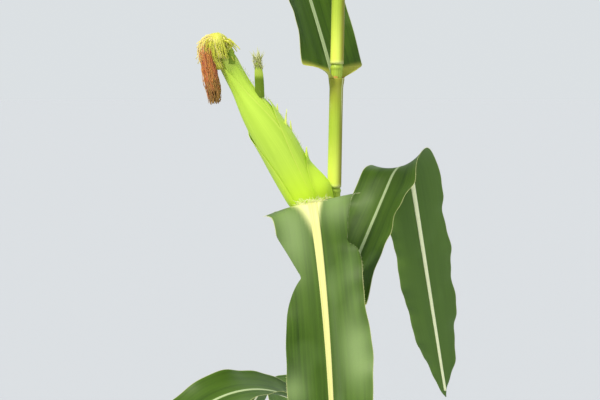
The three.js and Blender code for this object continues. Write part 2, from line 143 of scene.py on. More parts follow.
# The ear leaf's left and right margins are drawn in and rolled under: how far in, how far under,
# and where along the blade that starts, has its corner and fades
EAR_FOLDS = [
    SimpleNamespace(draw=0.51, roll=15, start=118, corner=177, fade=30),
    SimpleNamespace(draw=0.31, roll=9, start=34, corner=137, fade=7),
]
# The wings beside the ear leaf's crest lie under a roof: its rise over the crest, its slopes to the
# left, to the right and to the back, how softly it presses, and where along the blade it is full
ROOF = SimpleNamespace(rise=6, left=0.4, right=0.11, back=0.15, soft=4, full=20)
# Where grey patches of painted sheen lie on the ear leaf: along the blade, across it, the two sizes
# of the patch and how strong it is
EAR_PAINTED_SHEEN = [
    (116, -0.6, 56, 0.42, 0.95),
    (74, 0.5, 34, 0.4, 0.8),
    (276, 0.66, 46, 0.38, 1.0),
    (318, -0.85, 26, 0.3, 0.8),
    (280, 0.22, 110, 0.12, 0.35),
]
# The ear leaf's midrib and the others': width, the share of the blade over which that fades, and
# how many times wider than the band the keel is
EAR_RIB = SimpleNamespace(width=15, fade=0.41, keel=1)
LEAF_RIB = SimpleNamespace(width=6.5, fade=0.9, keel=1.9)
MIDRIB_SIDES = 16
MIDRIB_STEP = 4
MIDRIB_END = 0.985
MIDRIB_TIP_WIDTH = 0.8
MIDRIB_TIP_KEEL = 0.5
MIDRIB_RAISE = 0.5
MIDRIB_GROOVE = 0.45
MIDRIB_KEEL = 3.4
MIDRIB_SEAT = 0.05
COLLAR_PATCH = (15, 22)
EAR_COLLAR_PATCH = SimpleNamespace(left=56, right=30, length=150)
LIGULE_HEIGHT = 4.5
LIGULE_WRAP = 150
LIGULE_THICKNESS = 0.3
LIGULE_RAGGED = 0.2
HAIR_TAPER = np.array([1, 0.7, 0.1])
FINE_HAIR_RADIUS = 0.16
MARGIN_HAIR = 1.5
MARGIN_HAIR_SPACING = 2.6
CREST_HAIRS = SimpleNamespace(count=230, radius=0.34, droop=0.5, shortest=6, longest=19)

# Leaf by leaf from the lowest, with turns in degrees: the turn from its rank, the rise at the
# collar, the fall at the tip, where along the blade it bends, its tilt aside and its twist about its
# own midrib. Some have a taper of their own, which keeps them broad over more or less of their
# length, and one has a drop of its own, with its collar further below the node.
HABIT_TERMS = ("turn", "rise", "fall", "bend", "tilt", "twist", "taper", "drop")
HABITS = [
    (14, 44, -38, (0.05, 0.8), 4),
    (-24, 48, -58, (0.1, 0.75), -5, 14),
    (-30, 50, -62, (0.08, 0.72), 5, -12),
    (26, 54, -66, (0.1, 0.7), 6, -16),
    (-58, 42, -66, (0.02, 0.55), -6),
    (-40, 52, -72, (0.3, 0.43), 0, -43, 7.5),
    (0, 68, -66, (0, 0.15), 13, 0, 3),
    (38, 66, -36, (0.15, 1), -4, 0, BLADE_TAPER, 15),
    (44, 68, -52, (0.14, 0.86), 5, 14),
    (-20, 68, -56, (0.14, 0.8), 4, -12),
    (-32, 70, -36, (0.16, 0.95), -5, 10),
    (16, 70, -28, (0.18, 1), -3),
    (12, 40, -24, (0.1, 1), 4),
]

# Ear
EAR_FOOT = (-21, -15)
EAR_FOOT_DROP = 48
EAR_LENGTH = 300
EAR_LEAN = 28
EAR_FORWARD = 4
EAR_BOW = 6
EAR_PROFILE = [
    (0, 7), (0.03, 14), (0.08, 22), (0.15, 28), (0.24, 29.6), (0.42, 30),
    (0.54, 28.4), (0.64, 24.6), (0.76, 18), (0.84, 16), (0.94, 14.6), (1, 11),
]
HUSK_STEP = 0.5
HUSK_THICKNESS = 0.45
HUSK_PATTERN_RADIUS = 26
HUSK_PATTERN_STEP = 97
HUSK_MARGIN_LIFT = 0.3
HUSK_CREASE = 0.2
HUSK_CREASES = 9
# How strongly painted light brightens the ear's lower husks
HUSK_PAINTED_LIGHT = 0.88
# Husks from the inside out: the middle of each by angle from the ear's left flank towards its
# front, the half angle it wraps, and the shares of the ear where it starts and ends. Then, where
# they aren't the usual ones, how blunt its tip is, how far that stands off and a bulge at its foot
HUSKS = [
    (250, 112, 0.02, 1.0, 9),
    (80, 112, 0.02, 1.0, 9),
    (300, 104, 0.01, 0.99, 7),
    (120, 100, 0.01, 0.97, 6),
    (215, 84, 0.01, 0.94),
    (40, 96, 0.01, 0.91),
    (176, 64, 0, 0.66, 4, 2.2),
    (330, 84, 0, 0.58),
    (184, 60, 0, 0.37, 4, 4.5, 13),
]
FLAG_SUNK = 8
FLAG_SEAT = 1.5
FLAG_CHANNEL = 0.07
FLAG_WAVE = 0.9
FLAG_DRIES_OVER = 0.16
# Free husk blades and tips: where each stands along the ear and round from its right flank towards
# its front, its length and width, how far it leans aside and how late it narrows. Then, for green
# ones, how much of it is green, how dark that green is and how deep its foot is sunk
FLAGS = [
    (0.7, 31, 55, 12.5, -3, 5, 0.44, 0.9, 3),
    (0.915, 62, 22, 12, 2, 3, 1, 0.7),
    (0.33, 10, 24, 5, 1, 1.4),
    (0.48, 0, 22, 4, -1, 1.3),
    (0.52, 20, 30, 3.5, 2, 1.2),
    (0.59, 5, 18, 4, 0, 1.3),
]
# The frayed end of the long husk blade, and the hairs on the ear's flank, with their middle and
# spread in degrees round the ear and how deep their roots are sunk
FRAY = SimpleNamespace(count=90, radius=0.5, shortest=6, longest=20)
FLANK_HAIRS = SimpleNamespace(count=260, middle=182, spread=14, shortest=2, longest=7, sunk=0.4)
SHANK_FOOT_RADIUS = 4.2
SHANK_RADIUS = 6.6
SHANK_RISE = 26
SHANK_BEND = 11
SHANK_RINGS = 8
SHANK_RING_HEIGHT = 0.35

# Silk, with the hanging lock's middle and all other places measured from the ear's tip
LOCK_LINE = [
    (0, 0, 0), (-3.7, -1, 5), (-12.025, -6, 5), (-16.65, -10, -5),
    (-13.32, -10, -25.2), (-9.25, -10, -50.4), (-2.96, -11, -84),
]
# The lock's strands: how wide they spread, how much wider across than in depth, how much shorter
# the shortest is, how many stray and how far, where they turn dry and dead, each as a middle and a
# spread of shares of the lock, and how many turn red
LOCK = SimpleNamespace(
    strands=420, radius=8.6, widening=1.12, shortened=0.3, straying=0.05, stray=1.35,
    dry=(0.35, 0.05), dead=(0.86, 0.07), reddened=0.45,
)
STRAND_RADIUS = 0.4
STRAND_SIDES = 4
TUFT_RADIUS = 0.7
# The tuft's strands: how wide their roots spread, their lean to the right and towards the front as
# a middle and a spread in degrees, their lengths, how far each curls, how often, how it droops, and
# how far cream and yellow ones mingle
TUFT = SimpleNamespace(
    strands=430, roots=(6, 5, 1.2), lean=(-8, 40), aside=(8, 26), length=(10, 27),
    curl=1.8, curls=1.6, droop=0.85, creamy=5,
)
# The matted strands inside the lock: where along it each colour starts and ends
MATTED = [("silk_yellow", 0, 0.38), ("silk_rust", 0.36, 0.72), ("silk_brown", 0.7, 0.84)]
MATTED_RADIUS = 7.4
# The matted cap under the tuft: points over the ear's tip and the cap's radius at each
CAP = [
    (-19, -7, -7, 1), (-15, -5, 1, 7), (-6, -2, 6, 9), (4, 0, 5, 9), (11, 0, -2, 6), (14, 0, -8, 1),
]
# The ways of the silk that lies between the lock and the ear's left flank, and over its front
LYING_SILK = [
    [(0, -8, 6), (-5, -11, 0), (-5, -11, -12), (-2, -9, -25), (3, -7, -36)],
    [(0, -4, 9), (2, -13, 6), (4, -17, -4), (6, -17, -13), (8, -16, -21)],
]
LYING_RADIUS = 7
WISP_SPREAD = 7.2
WISP_WAVE = 1.3

# Tassel
SPIKE = 205
BRANCHES = 13
BRANCH_FIRST = 14
BRANCH_STEP = 8.5
BRANCH_LONGEST = 190
BRANCH_SHORTEST = 120
BRANCH_RISE = 62
BRANCH_FALLS = (-6, 40)
GOLDEN_ANGLE = 137.5
# The spike's stem and a branch's: radius at the foot, ranks of spikelets, and the bare share
SPIKE_STEM = (2.2, 6, 0.5)
BRANCH_STEM = (1.25, 4, 0.1)
STEM_TAPER = 0.72
SPIKELET_LENGTH = 9
SPIKELET_RADIUS = 1.35
SPIKELET_SPACING = 5
LAST_SPIKELET = 0.985
SPIKELET_PROFILE = [(0, 0.35), (0.2, 0.85), (0.5, 1), (0.8, 0.7), (1, 0.1)]
SPIKELET_SPLAY = 0.42
PURPLE_SHARE = 0.3
OPEN_SHARE = 0.42
THREAD_LENGTH = 3
THREAD_RADIUS = 0.12
ANTHER_LENGTH = 5.5
ANTHER_RADIUS = 0.62

# Studio: places in metres, turns in degrees, the lens and its sensor in millimetres
CAMERA_PLACE = (-0.0444, -1.1388, 1.2185)
CAMERA_PITCH = -8
CAMERA_LENS = 46
CAMERA_SENSOR = 36
CAMERA_NEAR = 0.05
CAMERA_FAR = 300
FLOOR_RADIUS = 120
FLOOR_SIDES = 96
LAMP_DISTANCE = 5
SKY_STRENGTH = 0.9
# Each light's name, rise above the floor, turn from the front to the right, softness, strength and
# colour
SOFT_LIGHTS = [
    ("front", 24, -4, 40, 0.35, "#fffdf4"),
    ("key", 50, -48, 16, 4.0, "#fff8e6"),
    ("fill", 35, 150, 40, 0.7, "#f4f8ff"),
]


def mix(a, b, t):
    """The value a share t of the way from a to b."""
    return a + (b - a) * t


def smooth(start, end, x):
    """Nought before start, one after end and 3t^2 - 2t^3 between them."""
    t = np.clip((x - start) / (end - start), 0, 1)
    return t * t * (3 - 2 * t)


def wave(turns):
    """A sine wave with one crest in each whole turn."""
    return np.sin(2 * np.pi * turns)


def unit(vectors):
    """Vectors over their own lengths."""
    return vectors / np.linalg.norm(vectors, axis=-1, keepdims=True)


def joined(*columns):
    """Arrays of places side by side, in a last axis of their own."""
    return np.stack(np.broadcast_arrays(*columns), axis=-1)


def circle(count):
    """The angles of count equal steps round a circle."""
    return 2 * np.pi * np.arange(count) / count


def around(angle, first=X, second=Y):
    """Directions at angles from a first axis towards a second one, by cosine and sine."""
    return np.cos(angle)[..., None] * first + np.sin(angle)[..., None] * second


def gone_along(path, power=1):
    """How far along a path each point lies: its steps' lengths, to a power, added up."""
    steps = np.linalg.norm(np.diff(path, axis=-2), axis=-1) ** power
    return np.concatenate([0 * steps[..., :1], np.cumsum(steps, axis=-1)], axis=-1)


def along_path(path, at, rows=None):
    """Points of a path, straight between its rows, at shares of the way through them, or at places
    measured as the rows are."""
    rows = np.linspace(0, 1, len(path)) if rows is None else rows
    return joined(*[np.interp(at, rows, axis) for axis in path.T])


def through(points, count, fine=40):
    """A centripetal Catmull-Rom curve through the points, at count equal steps along it."""
    p = np.asarray(points, float)
    p = np.vstack([2 * p[0] - p[1], p, 2 * p[-1] - p[-2]])
    knots = gone_along(p, 0.5)
    laid = []
    for i in range(len(p) - 3):
        k = knots[i : i + 4]
        t = np.linspace(k[1], k[2], fine)[:, None]
        level = list(p[i : i + 4])
        for span in (1, 2):
            level = [
                mix(level[j], level[j + 1], (t - k[j]) / (k[j + span] - k[j]))
                for j in range(len(level) - 1)
            ]
        laid.append(mix(level[0], level[1], (t - k[1]) / (k[2] - k[1])))
    laid = np.vstack(laid)
    gone = gone_along(laid)
    return along_path(laid, np.linspace(0, gone[-1], count), gone)


def square_axes(paths, hint):
    """Two axes square to the way paths go. The first turns towards the hint."""
    along = unit(np.gradient(paths, axis=-2))
    first = unit(hint - (hint * along).sum(-1, keepdims=True) * along)
    return first, np.cross(along, first)


def tubes(paths, radii, sides, hint):
    """Round tubes along paths: a circle of each row's radius, square to the way the path goes,
    with its first point turned towards the hint."""
    first, second = square_axes(paths, hint)
    spokes = around(circle(sides), first[..., None, :], second[..., None, :])
    return paths[..., None, :] + np.asarray(radii)[..., None, None] * spokes


def spikes(roots, ways, reach, radii, sides=4, sag=0):
    """Tubes from roots along straight ways, with a ring at each reach, let down by the sag."""
    paths = roots[:, None] + reach[..., None] * ways[:, None] - np.asarray(sag)[..., None] * Z
    return tubes(paths, radii, sides, np.cross(ways, X + 2 * Y)[:, None])


def hairs(roots, ways, lengths, radius, droop=0):
    """Tapered hairs from roots along ways, bent down by a share of their lengths at the tip."""
    t = np.linspace(0, 1, len(HAIR_TAPER))
    reach = lengths[:, None] * t
    return spikes(roots, ways, reach, radius * HAIR_TAPER, sag=droop * reach * t)


def round_places(rings):
    """Places on tubes: round them from their first line and, past the far side, back to it, so
    that no pattern breaks, and along them by the length of their middle."""
    middle = rings.mean(axis=-2)
    number = np.arange(rings.shape[-2])
    turned = 2 * np.pi * np.minimum(number, len(number) - number) / len(number)
    aside = np.linalg.norm(rings - middle[..., None, :], axis=-1) * turned
    return joined(aside, gone_along(middle)[..., None])


def skins(rings):
    """Closed skins over rings that turn right-handed about the way they go: quads join each ring
    to the next, and strips of quads close both ends."""
    rows, count = rings.shape[-3:-1]
    grid = np.arange(rows * count).reshape(rows, count)
    ahead = np.roll(grid, -1, axis=1)
    sides = np.stack([grid[:-1], ahead[:-1], ahead[1:], grid[1:]], axis=-1).reshape(-1, 4)
    j = np.arange(count // 2 - 1)
    strip = np.stack([j, j + 1, count - 2 - j, count - 1 - j], axis=-1)
    faces = np.concatenate([sides, strip[:, ::-1], strip + (rows - 1) * count])
    points = rings.reshape(-1, 3)
    starts = np.arange(len(points) // (rows * count))[:, None, None] * rows * count
    return points, (faces + starts).reshape(-1, 4)


def stand(name, data):
    """A new object of the scene that shows a mesh, a light or a camera."""
    made = bpy.data.objects.new(name, data)
    bpy.context.scene.collection.objects.link(made)
    return made


def piece(name, parts, material, slot, replaces=(), uv=None, **marks):
    """One smooth mesh of closed skins that rides on the plant. uv gives its points' places across
    and along the surface, and the marks are shares at its points that its material reads."""
    points, faces, count = [], [], 0
    for part in parts if isinstance(parts, list) else [parts]:
        found, quads = skins(part)
        points.append(found)
        faces.append(quads + count)
        count += len(found)
    points, corners = np.concatenate(points), np.concatenate(faces).ravel()
    mesh = bpy.data.meshes.new(name)
    mesh.vertices.add(len(points))
    mesh.vertices.foreach_set("co", (points * MM).astype(np.float32).ravel())
    mesh.loops.add(len(corners))
    mesh.loops.foreach_set("vertex_index", corners.astype(np.int32))
    mesh.polygons.add(len(corners) // 4)
    mesh.polygons.foreach_set("loop_start", np.arange(0, len(corners), 4, dtype=np.int32))
    mesh.update(calc_edges=True)
    mesh.shade_smooth()
    if uv is not None:
        places = (uv.reshape(-1, 2) * MM)[corners].astype(np.float32)
        mesh.uv_layers.new(name=SURFACE_MAP).data.foreach_set("uv", places.ravel())
    for mark, shares in marks.items():
        attribute = mesh.attributes.new(mark, "FLOAT", "POINT")
        attribute.data.foreach_set("value", shares.astype(np.float32).ravel())
    mesh.materials.append(material)
    made = stand(name, mesh)
    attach(made, "root")
    if replaces:
        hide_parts(*replaces)


def both_faces(values):
    """Values of a sheet's points in the order of its rings, across its lower face and back across
    its upper one, from a pair of arrays or from one for both."""
    lower, upper = values if isinstance(values, tuple) else (values, values)
    return np.concatenate([lower, upper[:, ::-1]], axis=1)


def sheet(name, rings, material, slot, replaces, uv, **marks):
    """A piece that is a thin sheet, with its places and marks given by its faces."""
    marks = {mark: both_faces(shares) for mark, shares in marks.items()}
    piece(name, rings, material, slot, replaces, both_faces(uv), **marks)


def spread_columns(count):
    """Places across a sheet from -1 to 1, with one close behind each margin to keep it crisp."""
    inner = np.linspace(-CLOSE_TO_MARGIN, CLOSE_TO_MARGIN, count - 2)
    return np.concatenate([[-1], inner, [1]])


def sheet_grid(columns, rows, last_rows=0):
    """Shares along a sheet and places across it. Where it has last rows, they share out the last
    tenth of its length."""
    t = np.linspace(0, 0.9 if last_rows else 1, rows)
    t = np.concatenate([t, np.linspace(0.91, 1, last_rows)])
    return np.broadcast_arrays(t[:, None], spread_columns(columns))


# Node heights: internodes lengthen up to the ear and shorten above it
COUNTED = np.arange(1, NODES)
INTERNODES = (
    LONGEST_INTERNODE
    * (1 - np.exp(-((COUNTED / INTERNODE_GROWTH) ** 2)))
    * (1 - INTERNODE_FALL * np.maximum(0, COUNTED - INTERNODE_FALL_FROM))
)
NODE_Z = FIRST_NODE_HEIGHT + np.concatenate([[-FIRST_NODE_HEIGHT, 0], np.cumsum(INTERNODES)])
STALK_TOP = NODE_Z[NODES] + PEDUNCLE
SWAY = np.where(np.arange(NODES + 1) % 2, -1, 1) * ZIGZAG * np.minimum(
    1, np.arange(NODES + 1) / ZIGZAG_FULL_FROM
)


def stalk_middle(z):
    """The stalk's middle at height z: it leans to +X by z squared and steps towards each leaf."""
    sway = np.interp(z, [*NODE_Z, STALK_TOP], [*SWAY, SWAY[-1]])
    return joined(LEAN * z * z, sway, z)


def stalk_radius(z):
    """The bare stalk's radius at height z: an even taper, and one by its fifth power on top."""
    t = z / STALK_TOP
    return STALK_FOOT_RADIUS - STALK_TAPER * t - STALK_TOP_TAPER * t**5


# Colours and finishes
SURFACE_MAP = "along_and_across"
MIX_A, MIX_B, MIXED = 6, 7, 2  # the colour sockets of a Mix node
CLOUD_SCALE = 9.0
CLOUD_DETAIL = 3.0
CLOUD_RANGE = (0.3, 0.7)
STREAK_ROUGHNESS = 0.55
RELIEF_STRENGTH = 0.5
CUTICLE_IOR = 1.46
CUTICLE_GLOSS = 0.25
STRAND_IOR = 1.45


def linear(colour):
    """An sRGB hex colour as linear red, green, blue and alpha."""
    c = np.array([int(colour[i : i + 2], 16) for i in (1, 3, 5)]) / 255
    c = np.where(c <= 0.04045, c / 12.92, ((c + 0.055) / 1.055) ** 2.4)
    return (*c.tolist(), 1)


def add(tree, kind, inputs=None, **settings):
    """A node with its settings. An input is given a value, or linked from another node's socket."""
    made = tree.nodes.new(kind)
    for name, value in settings.items():
        setattr(made, name, value)
    for name, value in (inputs or {}).items():
        if isinstance(value, bpy.types.NodeSocket):
            tree.links.new(value, made.inputs[name])
        else:
            made.inputs[name].default_value = value
    return made


def finish(name):
    """A new material's node tree, with nothing in it but its output."""
    material = bpy.data.materials.new(name)
    material.use_nodes = True
    material.node_tree.nodes.clear()
    return material, material.node_tree


def tissue(name, base, streaks, marks=(), roughness=(0.42, 0.5), relief=0.3, share=0, glow=None):
    """A finish for plant tissue: a base colour under streaks and marks. Streaks have a spacing and
    a length in millimetres, a low and a high end between which they come in, and a colour. Marks
    have a name among the marks of a piece, the share at which they are full, and a colour. The
    first streaks stand up by the relief, the roughness wanders between its two ends over a hand's
    breadth, and a share of light comes through in the glow's colour, or else the base's."""
    material, tree = finish(name)
    place = add(tree, "ShaderNodeUVMap", uv_map=SURFACE_MAP).outputs["UV"]
    clouds = {"Vector": place, "Scale": CLOUD_SCALE, "Detail": CLOUD_DETAIL}
    cloud = add(tree, "ShaderNodeTexNoise", clouds).outputs[0]
    ends = dict(zip(("From Min", "From Max", "To Min", "To Max"), CLOUD_RANGE + roughness))
    polish = add(tree, "ShaderNodeMapRange", {"Value": cloud, **ends})
    layers = []
    for spacing, length, low, high, shade in streaks:
        scale = (1 / (spacing * MM), 1 / (length * MM), 1)
        scaled = add(tree, "ShaderNodeMapping", {"Vector": place, "Scale": scale})
        grain = {"Vector": scaled.outputs["Vector"], "Scale": 1.0, "Roughness": STREAK_ROUGHNESS}
        layers.append((add(tree, "ShaderNodeTexNoise", grain).outputs[0], low, high, shade))
    standing = layers[0][0]
    for mark, high, shade in marks:
        carried = add(tree, "ShaderNodeAttribute", attribute_name=mark).outputs["Fac"]
        layers.append((carried, 0, high, shade))
    colour = linear(base)
    for shown, low, high, shade in layers:
        part = add(tree, "ShaderNodeMapRange", {"Value": shown, "From Min": low, "From Max": high})
        colours = {0: part.outputs["Result"], MIX_A: colour, MIX_B: linear(shade)}
        colour = add(tree, "ShaderNodeMix", colours, data_type="RGBA").outputs[MIXED]
    bump = {"Height": standing, "Strength": RELIEF_STRENGTH, "Distance": relief * MM}
    skin = {
        "Base Color": colour,
        "Roughness": polish.outputs["Result"],
        "IOR": CUTICLE_IOR,
        "Specular IOR Level": CUTICLE_GLOSS,
        "Normal": add(tree, "ShaderNodeBump", bump).outputs["Normal"],
    }
    let_through(tree, skin, glow or base, share)
    return material


def let_through(tree, skin, glow, share):
    """Ends a tree with its skin and a share of light that comes through from behind."""
    front = add(tree, "ShaderNodeBsdfPrincipled", skin).outputs["BSDF"]
    behind = add(tree, "ShaderNodeBsdfTranslucent", {"Color": linear(glow)}).outputs["BSDF"]
    mixed = add(tree, "ShaderNodeMixShader", {0: share, 1: front, 2: behind}).outputs["Shader"]
    add(tree, "ShaderNodeOutputMaterial", {"Surface": mixed})


def strand_finish(name, colour, roughness=0.5, share=0.2):
    """Fine plant strands and scales, too small for a pattern: one plain colour, lit a little from
    behind."""
    material, tree = finish(name)
    skin = {"Base Color": linear(colour), "Roughness": roughness, "IOR": STRAND_IOR}
    let_through(tree, skin, colour, share)
    return material


# Leaf blade, soft tissue under a waxy cuticle: deep green with parallel veins, broad paler bands,
# grey-green clouds of painted sheen, a duller and paler lower face, and on the ear leaf grey patches
# of painted sheen. Real veins lie two millimetres apart, and are drawn at four so that they show
BLADE = tissue(
    "waxy leaf blade",
    "#2b420a",
    [
        (4, 260, 0.36, 0.66, "#425f15"),
        (17, 240, 0.42, 0.72, "#4a6719"),
        # Grey-green clouds of painted sheen
        (70, 120, 0.54, 1, "#7c9a58"),
    ],
    [
        # Grey patches of painted sheen on the ear leaf
        ("bloom", 1.2, "#8fa86c"),
        ("under", 1.6, "#6f8d48"),
        ("golden", 1, "#c6c552"),
        ("pale", 1, "#eef0a8"),
    ],
    roughness=(0.46, 0.56),
    relief=0.35,
    share=0.2,
    glow="#86c221",
)
# Ear leaf's midrib, a smooth rind over white pith: cream yellow with faint long fibres
MIDRIB = tissue(
    "pithy leaf midrib",
    "#d6d494",
    [(1.1, 130, 0.35, 0.75, "#c6c870")],
    [("under", 1, "#d2dc90")],
    roughness=(0.4, 0.46),
    relief=0.2,
    share=0.05,
    glow="#e2dd92",
)
# The other leaves' midribs: a green band, its dullness partly painted shade, above a cream keel
GREEN_MIDRIB = tissue(
    "green leaf midrib",
    "#9fb085",
    [(1.1, 130, 0.35, 0.75, "#96a975")],
    [("under", 1, "#fbffd0")],
    roughness=(0.4, 0.46),
    relief=0.2,
)
# Leaf sheath, a ribbed green tube with a thin white margin: yellow green, ribs about two
# millimetres apart, dull wax in long clouds, olive with age towards the collar, and painted shade
# down the side towards +X
SHEATH = tissue(
    "ribbed leaf sheath",
    "#adc640",
    [(1.7, 210, 0.35, 0.7, "#99b235"), (14, 60, 0.5, 0.95, "#c3d278")],
    # Olive brown: age towards the collar, and painted shade down the side towards +X
    [("young", 1, "#dfee62"), ("old", 1.1, "#8e8826"), ("pale", 1, "#e4eaae")],
    relief=0.4,
    share=0.12,
)
# Ear husk, thin leathery sheets: bright yellow green with close parallel veins, slightly satin,
# with brighter yellow green painted light over the ear's lower part
HUSK = tissue(
    "green ear husk",
    "#c6e754",
    [(1.5, 190, 0.35, 0.8, "#b8db4a"), (11, 150, 0.45, 1, "#a9cc41")],
    # The last mark is bright yellow green painted light on the ear's lower part
    [("pale", 1, "#e4ee72"), ("dark", 1, "#4e6800"), ("fresh", 1, "#dcff3c")],
    roughness=(0.46, 0.54),
    share=0.15,
)
# Stalk rind, hard and smooth: green streaks along the stem
STALK_STREAKS = [(2, 90, 0.35, 0.7, "#8ca536")]
STALK_RIND = tissue("green stalk rind", "#a9c148", STALK_STREAKS, (), (0.38, 0.46), 0.4)
# Brace root rind, tough and dull: green above and brown in streaks towards the soil
ROOT_STREAKS = [(3, 26, 0.35, 0.7, "#6d4d31")]
ROOT_RIND = tissue("brace root rind", "#8d9648", ROOT_STREAKS, (), (0.55, 0.65), 0.5)
# Ear shank, a pale short stem inside the sheath
SHANK_RIND = tissue("pale ear shank", "#c4d66c", [(2, 60, 0.35, 0.7, "#acc455")], share=0.05)
RACHIS = strand_finish("green tassel stem", "#a9b155", share=0)
STRAW = strand_finish("dry frayed leaf", "#d3d68e", 0.6)
PALE_HAIR = strand_finish("pale leaf hair", "#f4f6c4", share=0.35)
LIGULE = strand_finish("papery ligule", "#cf9f45", share=0.4)
SILK = {
    "silk_tuft": strand_finish("fresh cream silk", "#fff8bd", 0.4, 0.6),
    "silk_yellow": strand_finish("fresh yellow silk", "#f3f47a", 0.4, 0.6),
    "silk_rust": strand_finish("drying rust silk", "#f2ba6c", 0.5, 0.45),
    "silk_red": strand_finish("drying red silk", "#dc8a62", 0.5, 0.45),
    "silk_brown": strand_finish("dry brown silk", "#b58c4c", 0.6, 0.3),
}
GLUME_GREEN = strand_finish("green tassel scales", "#a5a655")
GLUME_PURPLE = strand_finish("purple tassel scales", "#80604f")
ANTHER = strand_finish("yellow anthers", "#cba83f")


# Leaves

def leaf_plan(k):
    """Where leaf k's sheath starts, its collar, the sizes of its blade and the blade's midline."""
    ear = k == EAR_LEAF
    habit = {"twist": 0, "taper": BLADE_TAPER, "drop": POCKET_DROP if ear else COLLAR_DROP}
    habit.update(zip(HABIT_TERMS, HABITS[k - FIRST_LEAF]))
    seat = NODE_Z[k] + SHEATH_SEAT
    length = LONGEST_BLADE * np.exp(-(((k - EAR_LEAF) / BLADE_LENGTH_SPREAD) ** 2))
    width = WIDEST_BLADE * np.exp(-(((k - EAR_LEAF - 1) / BLADE_WIDTH_SPREAD) ** 2))
    plan = SimpleNamespace(
        k=k, label=f"{k:02d}", ear=ear, seat=seat,
        azimuth=np.radians((-90 if k % 2 else 90) + habit["turn"]),
        collar=NODE_Z[k + 1] - habit["drop"] if k < NODES else seat + FLAG_SHEATH,
        length=EAR_BLADE_LENGTH if ear else length,
        width=EAR_BLADE_WIDTH if ear else width,
        **habit,
    )
    plan.walk = blade_walk(plan)
    return plan


def leaf_axes(azimuth, rise, tilt):
    """Axes of leaf sections, a row for each rise and tilt: away from the stalk, along the leaf,
    across it, and out of its upper face."""
    out = around(azimuth)
    level = np.cross(Z, out)
    along = around(rise, out, around(tilt, Z, -level))
    across = around(tilt, level, Z)
    return out, along, across, np.cross(along, across)


def sheath_places(plan, q):
    """The sheath's midline at shares q of its height: a circle round the stalk that widens to the
    collar, or, on the ear leaf, a circle that opens into a pocket round the ear."""
    z = mix(plan.seat, plan.collar, q)
    opened = q if plan.ear else 0 * q
    turned = smooth(0.2, 1, q) if plan.ear else 0 * q
    fitted = stalk_radius(z) + SHEATH_FIT + COLLAR_FLARE * smooth(0.9, 1, q)
    radius = mix(fitted, POCKET_RADIUS, opened)
    rise = np.radians(mix(90, plan.rise, turned))
    out, along, across, normal = leaf_axes(plan.azimuth, rise, np.radians(plan.tilt * turned))
    point = stalk_middle(z) + radius[:, None] * out
    point[:, :2] += opened[:, None] * POCKET_CENTRE
    return SimpleNamespace(point=point, along=along, across=across, normal=normal, radius=radius)


def arc_points(place, radius, angle, lift):
    """Points on a leaf's arc at angles across it, lifted out of its upper face, and the ways out."""
    normal = place.normal[:, None]
    face = around(angle, normal, -place.across[:, None])
    points = place.point[:, None] + radius[:, None, None] * (normal - face)
    return points + np.asarray(lift)[..., None] * face, face


def section_rings(place, radius, wrap, u, thickness, lift):
    """Arc sections of a leaf about its midline. A point at u, from -1 to 1 across, lies on the arc
    at u times the wrap, lifted out of the upper face, with the lower face a thickness behind."""
    upper, face = arc_points(place, radius, u * wrap[:, None], lift)
    return both_faces((upper - face * thickness[..., None], upper))


def sheath(plan):
    """A leaf's sheath. Its right margin lies over its left one, except on the ear's pocket. Its side
    towards +X is darkened by painted shade.
    """
    t, u = sheet_grid(45, 46, 14)
    q = t[:, 0]
    place = sheath_places(plan, q)
    opening = mix(SHEATH_WRAP, POCKET_WRAP, smooth(0.1, 0.7, q))
    wrap = np.radians(opening if plan.ear else OVERLAPPED_WRAP + 0 * q)
    over = 0 if plan.ear else smooth(0.6, 0.9, u) * (SHEATH_WALL + SHEATH_FIT)
    wall = mix(SHEATH_WALL, SHEATH_MARGIN, np.abs(u) ** 4)
    rings = section_rings(place, place.radius, wrap, u, wall, -over)
    height = (plan.collar - plan.seat) * t
    aside = u * place.radius[:, None] * wrap[:, None]
    places = joined(aside, height + SHEATH_PATTERN_STEP * plan.k)
    edge = smooth(0.93, 0.99, np.abs(u)) * smooth(0.5, 0.9, t)
    # Painted shade: the sheath's side that faces +X is darkened as if in shade
    right = np.cos(plan.azimuth + u * wrap[:, None])
    sheet(
        f"leaf_{plan.label}_sheath", rings, SHEATH, "sheath", [f"sheath_{plan.label}"], places,
        pale=np.maximum(edge, 0.5 * (1 - smooth(0, PALE_FOOT, height))),
        young=1 - smooth(0, YOUNG_FOOT, height),
        old=np.maximum(0.8 * smooth(0.55, 1, t), smooth(0.1, 0.95, right)),
    )


def blade_walk(plan):
    """The blade's midline, a millimetre a row: it rises, bends over, twists and falls, by smooth
    steps of its angles over its length."""
    d = np.arange(0, int(plan.length) + 1)
    t = d / plan.length
    start = plan.rise if plan.ear else mix(90, plan.rise, smooth(0, COLLAR_BEND, d))
    sag = EAR_BLADE_SAG * smooth(0.1, 0.7, t) if plan.ear else 0
    rise = mix(start, plan.fall, smooth(*plan.bend, t)) + sag
    tilt = plan.tilt * (np.exp(-t / EAR_BLADE_UNTILT) if plan.ear else smooth(0, 0.3, t))
    _, along, across, normal = leaf_axes(plan.azimuth, np.radians(rise), np.radians(tilt))
    twist = np.radians(plan.twist) * smooth(*plan.bend, t)
    across, normal = around(twist, across, normal), around(twist, normal, -across)
    start = sheath_places(plan, np.ones(1)).point
    point = start + np.vstack([np.zeros(3), np.cumsum(along[:-1], axis=0)])
    return SimpleNamespace(d=d, point=point, along=along, across=across, normal=normal)


def rows_of(walk, rows):
    """Some rows of a blade's midline."""
    return SimpleNamespace(**{name: values[rows] for name, values in vars(walk).items()})


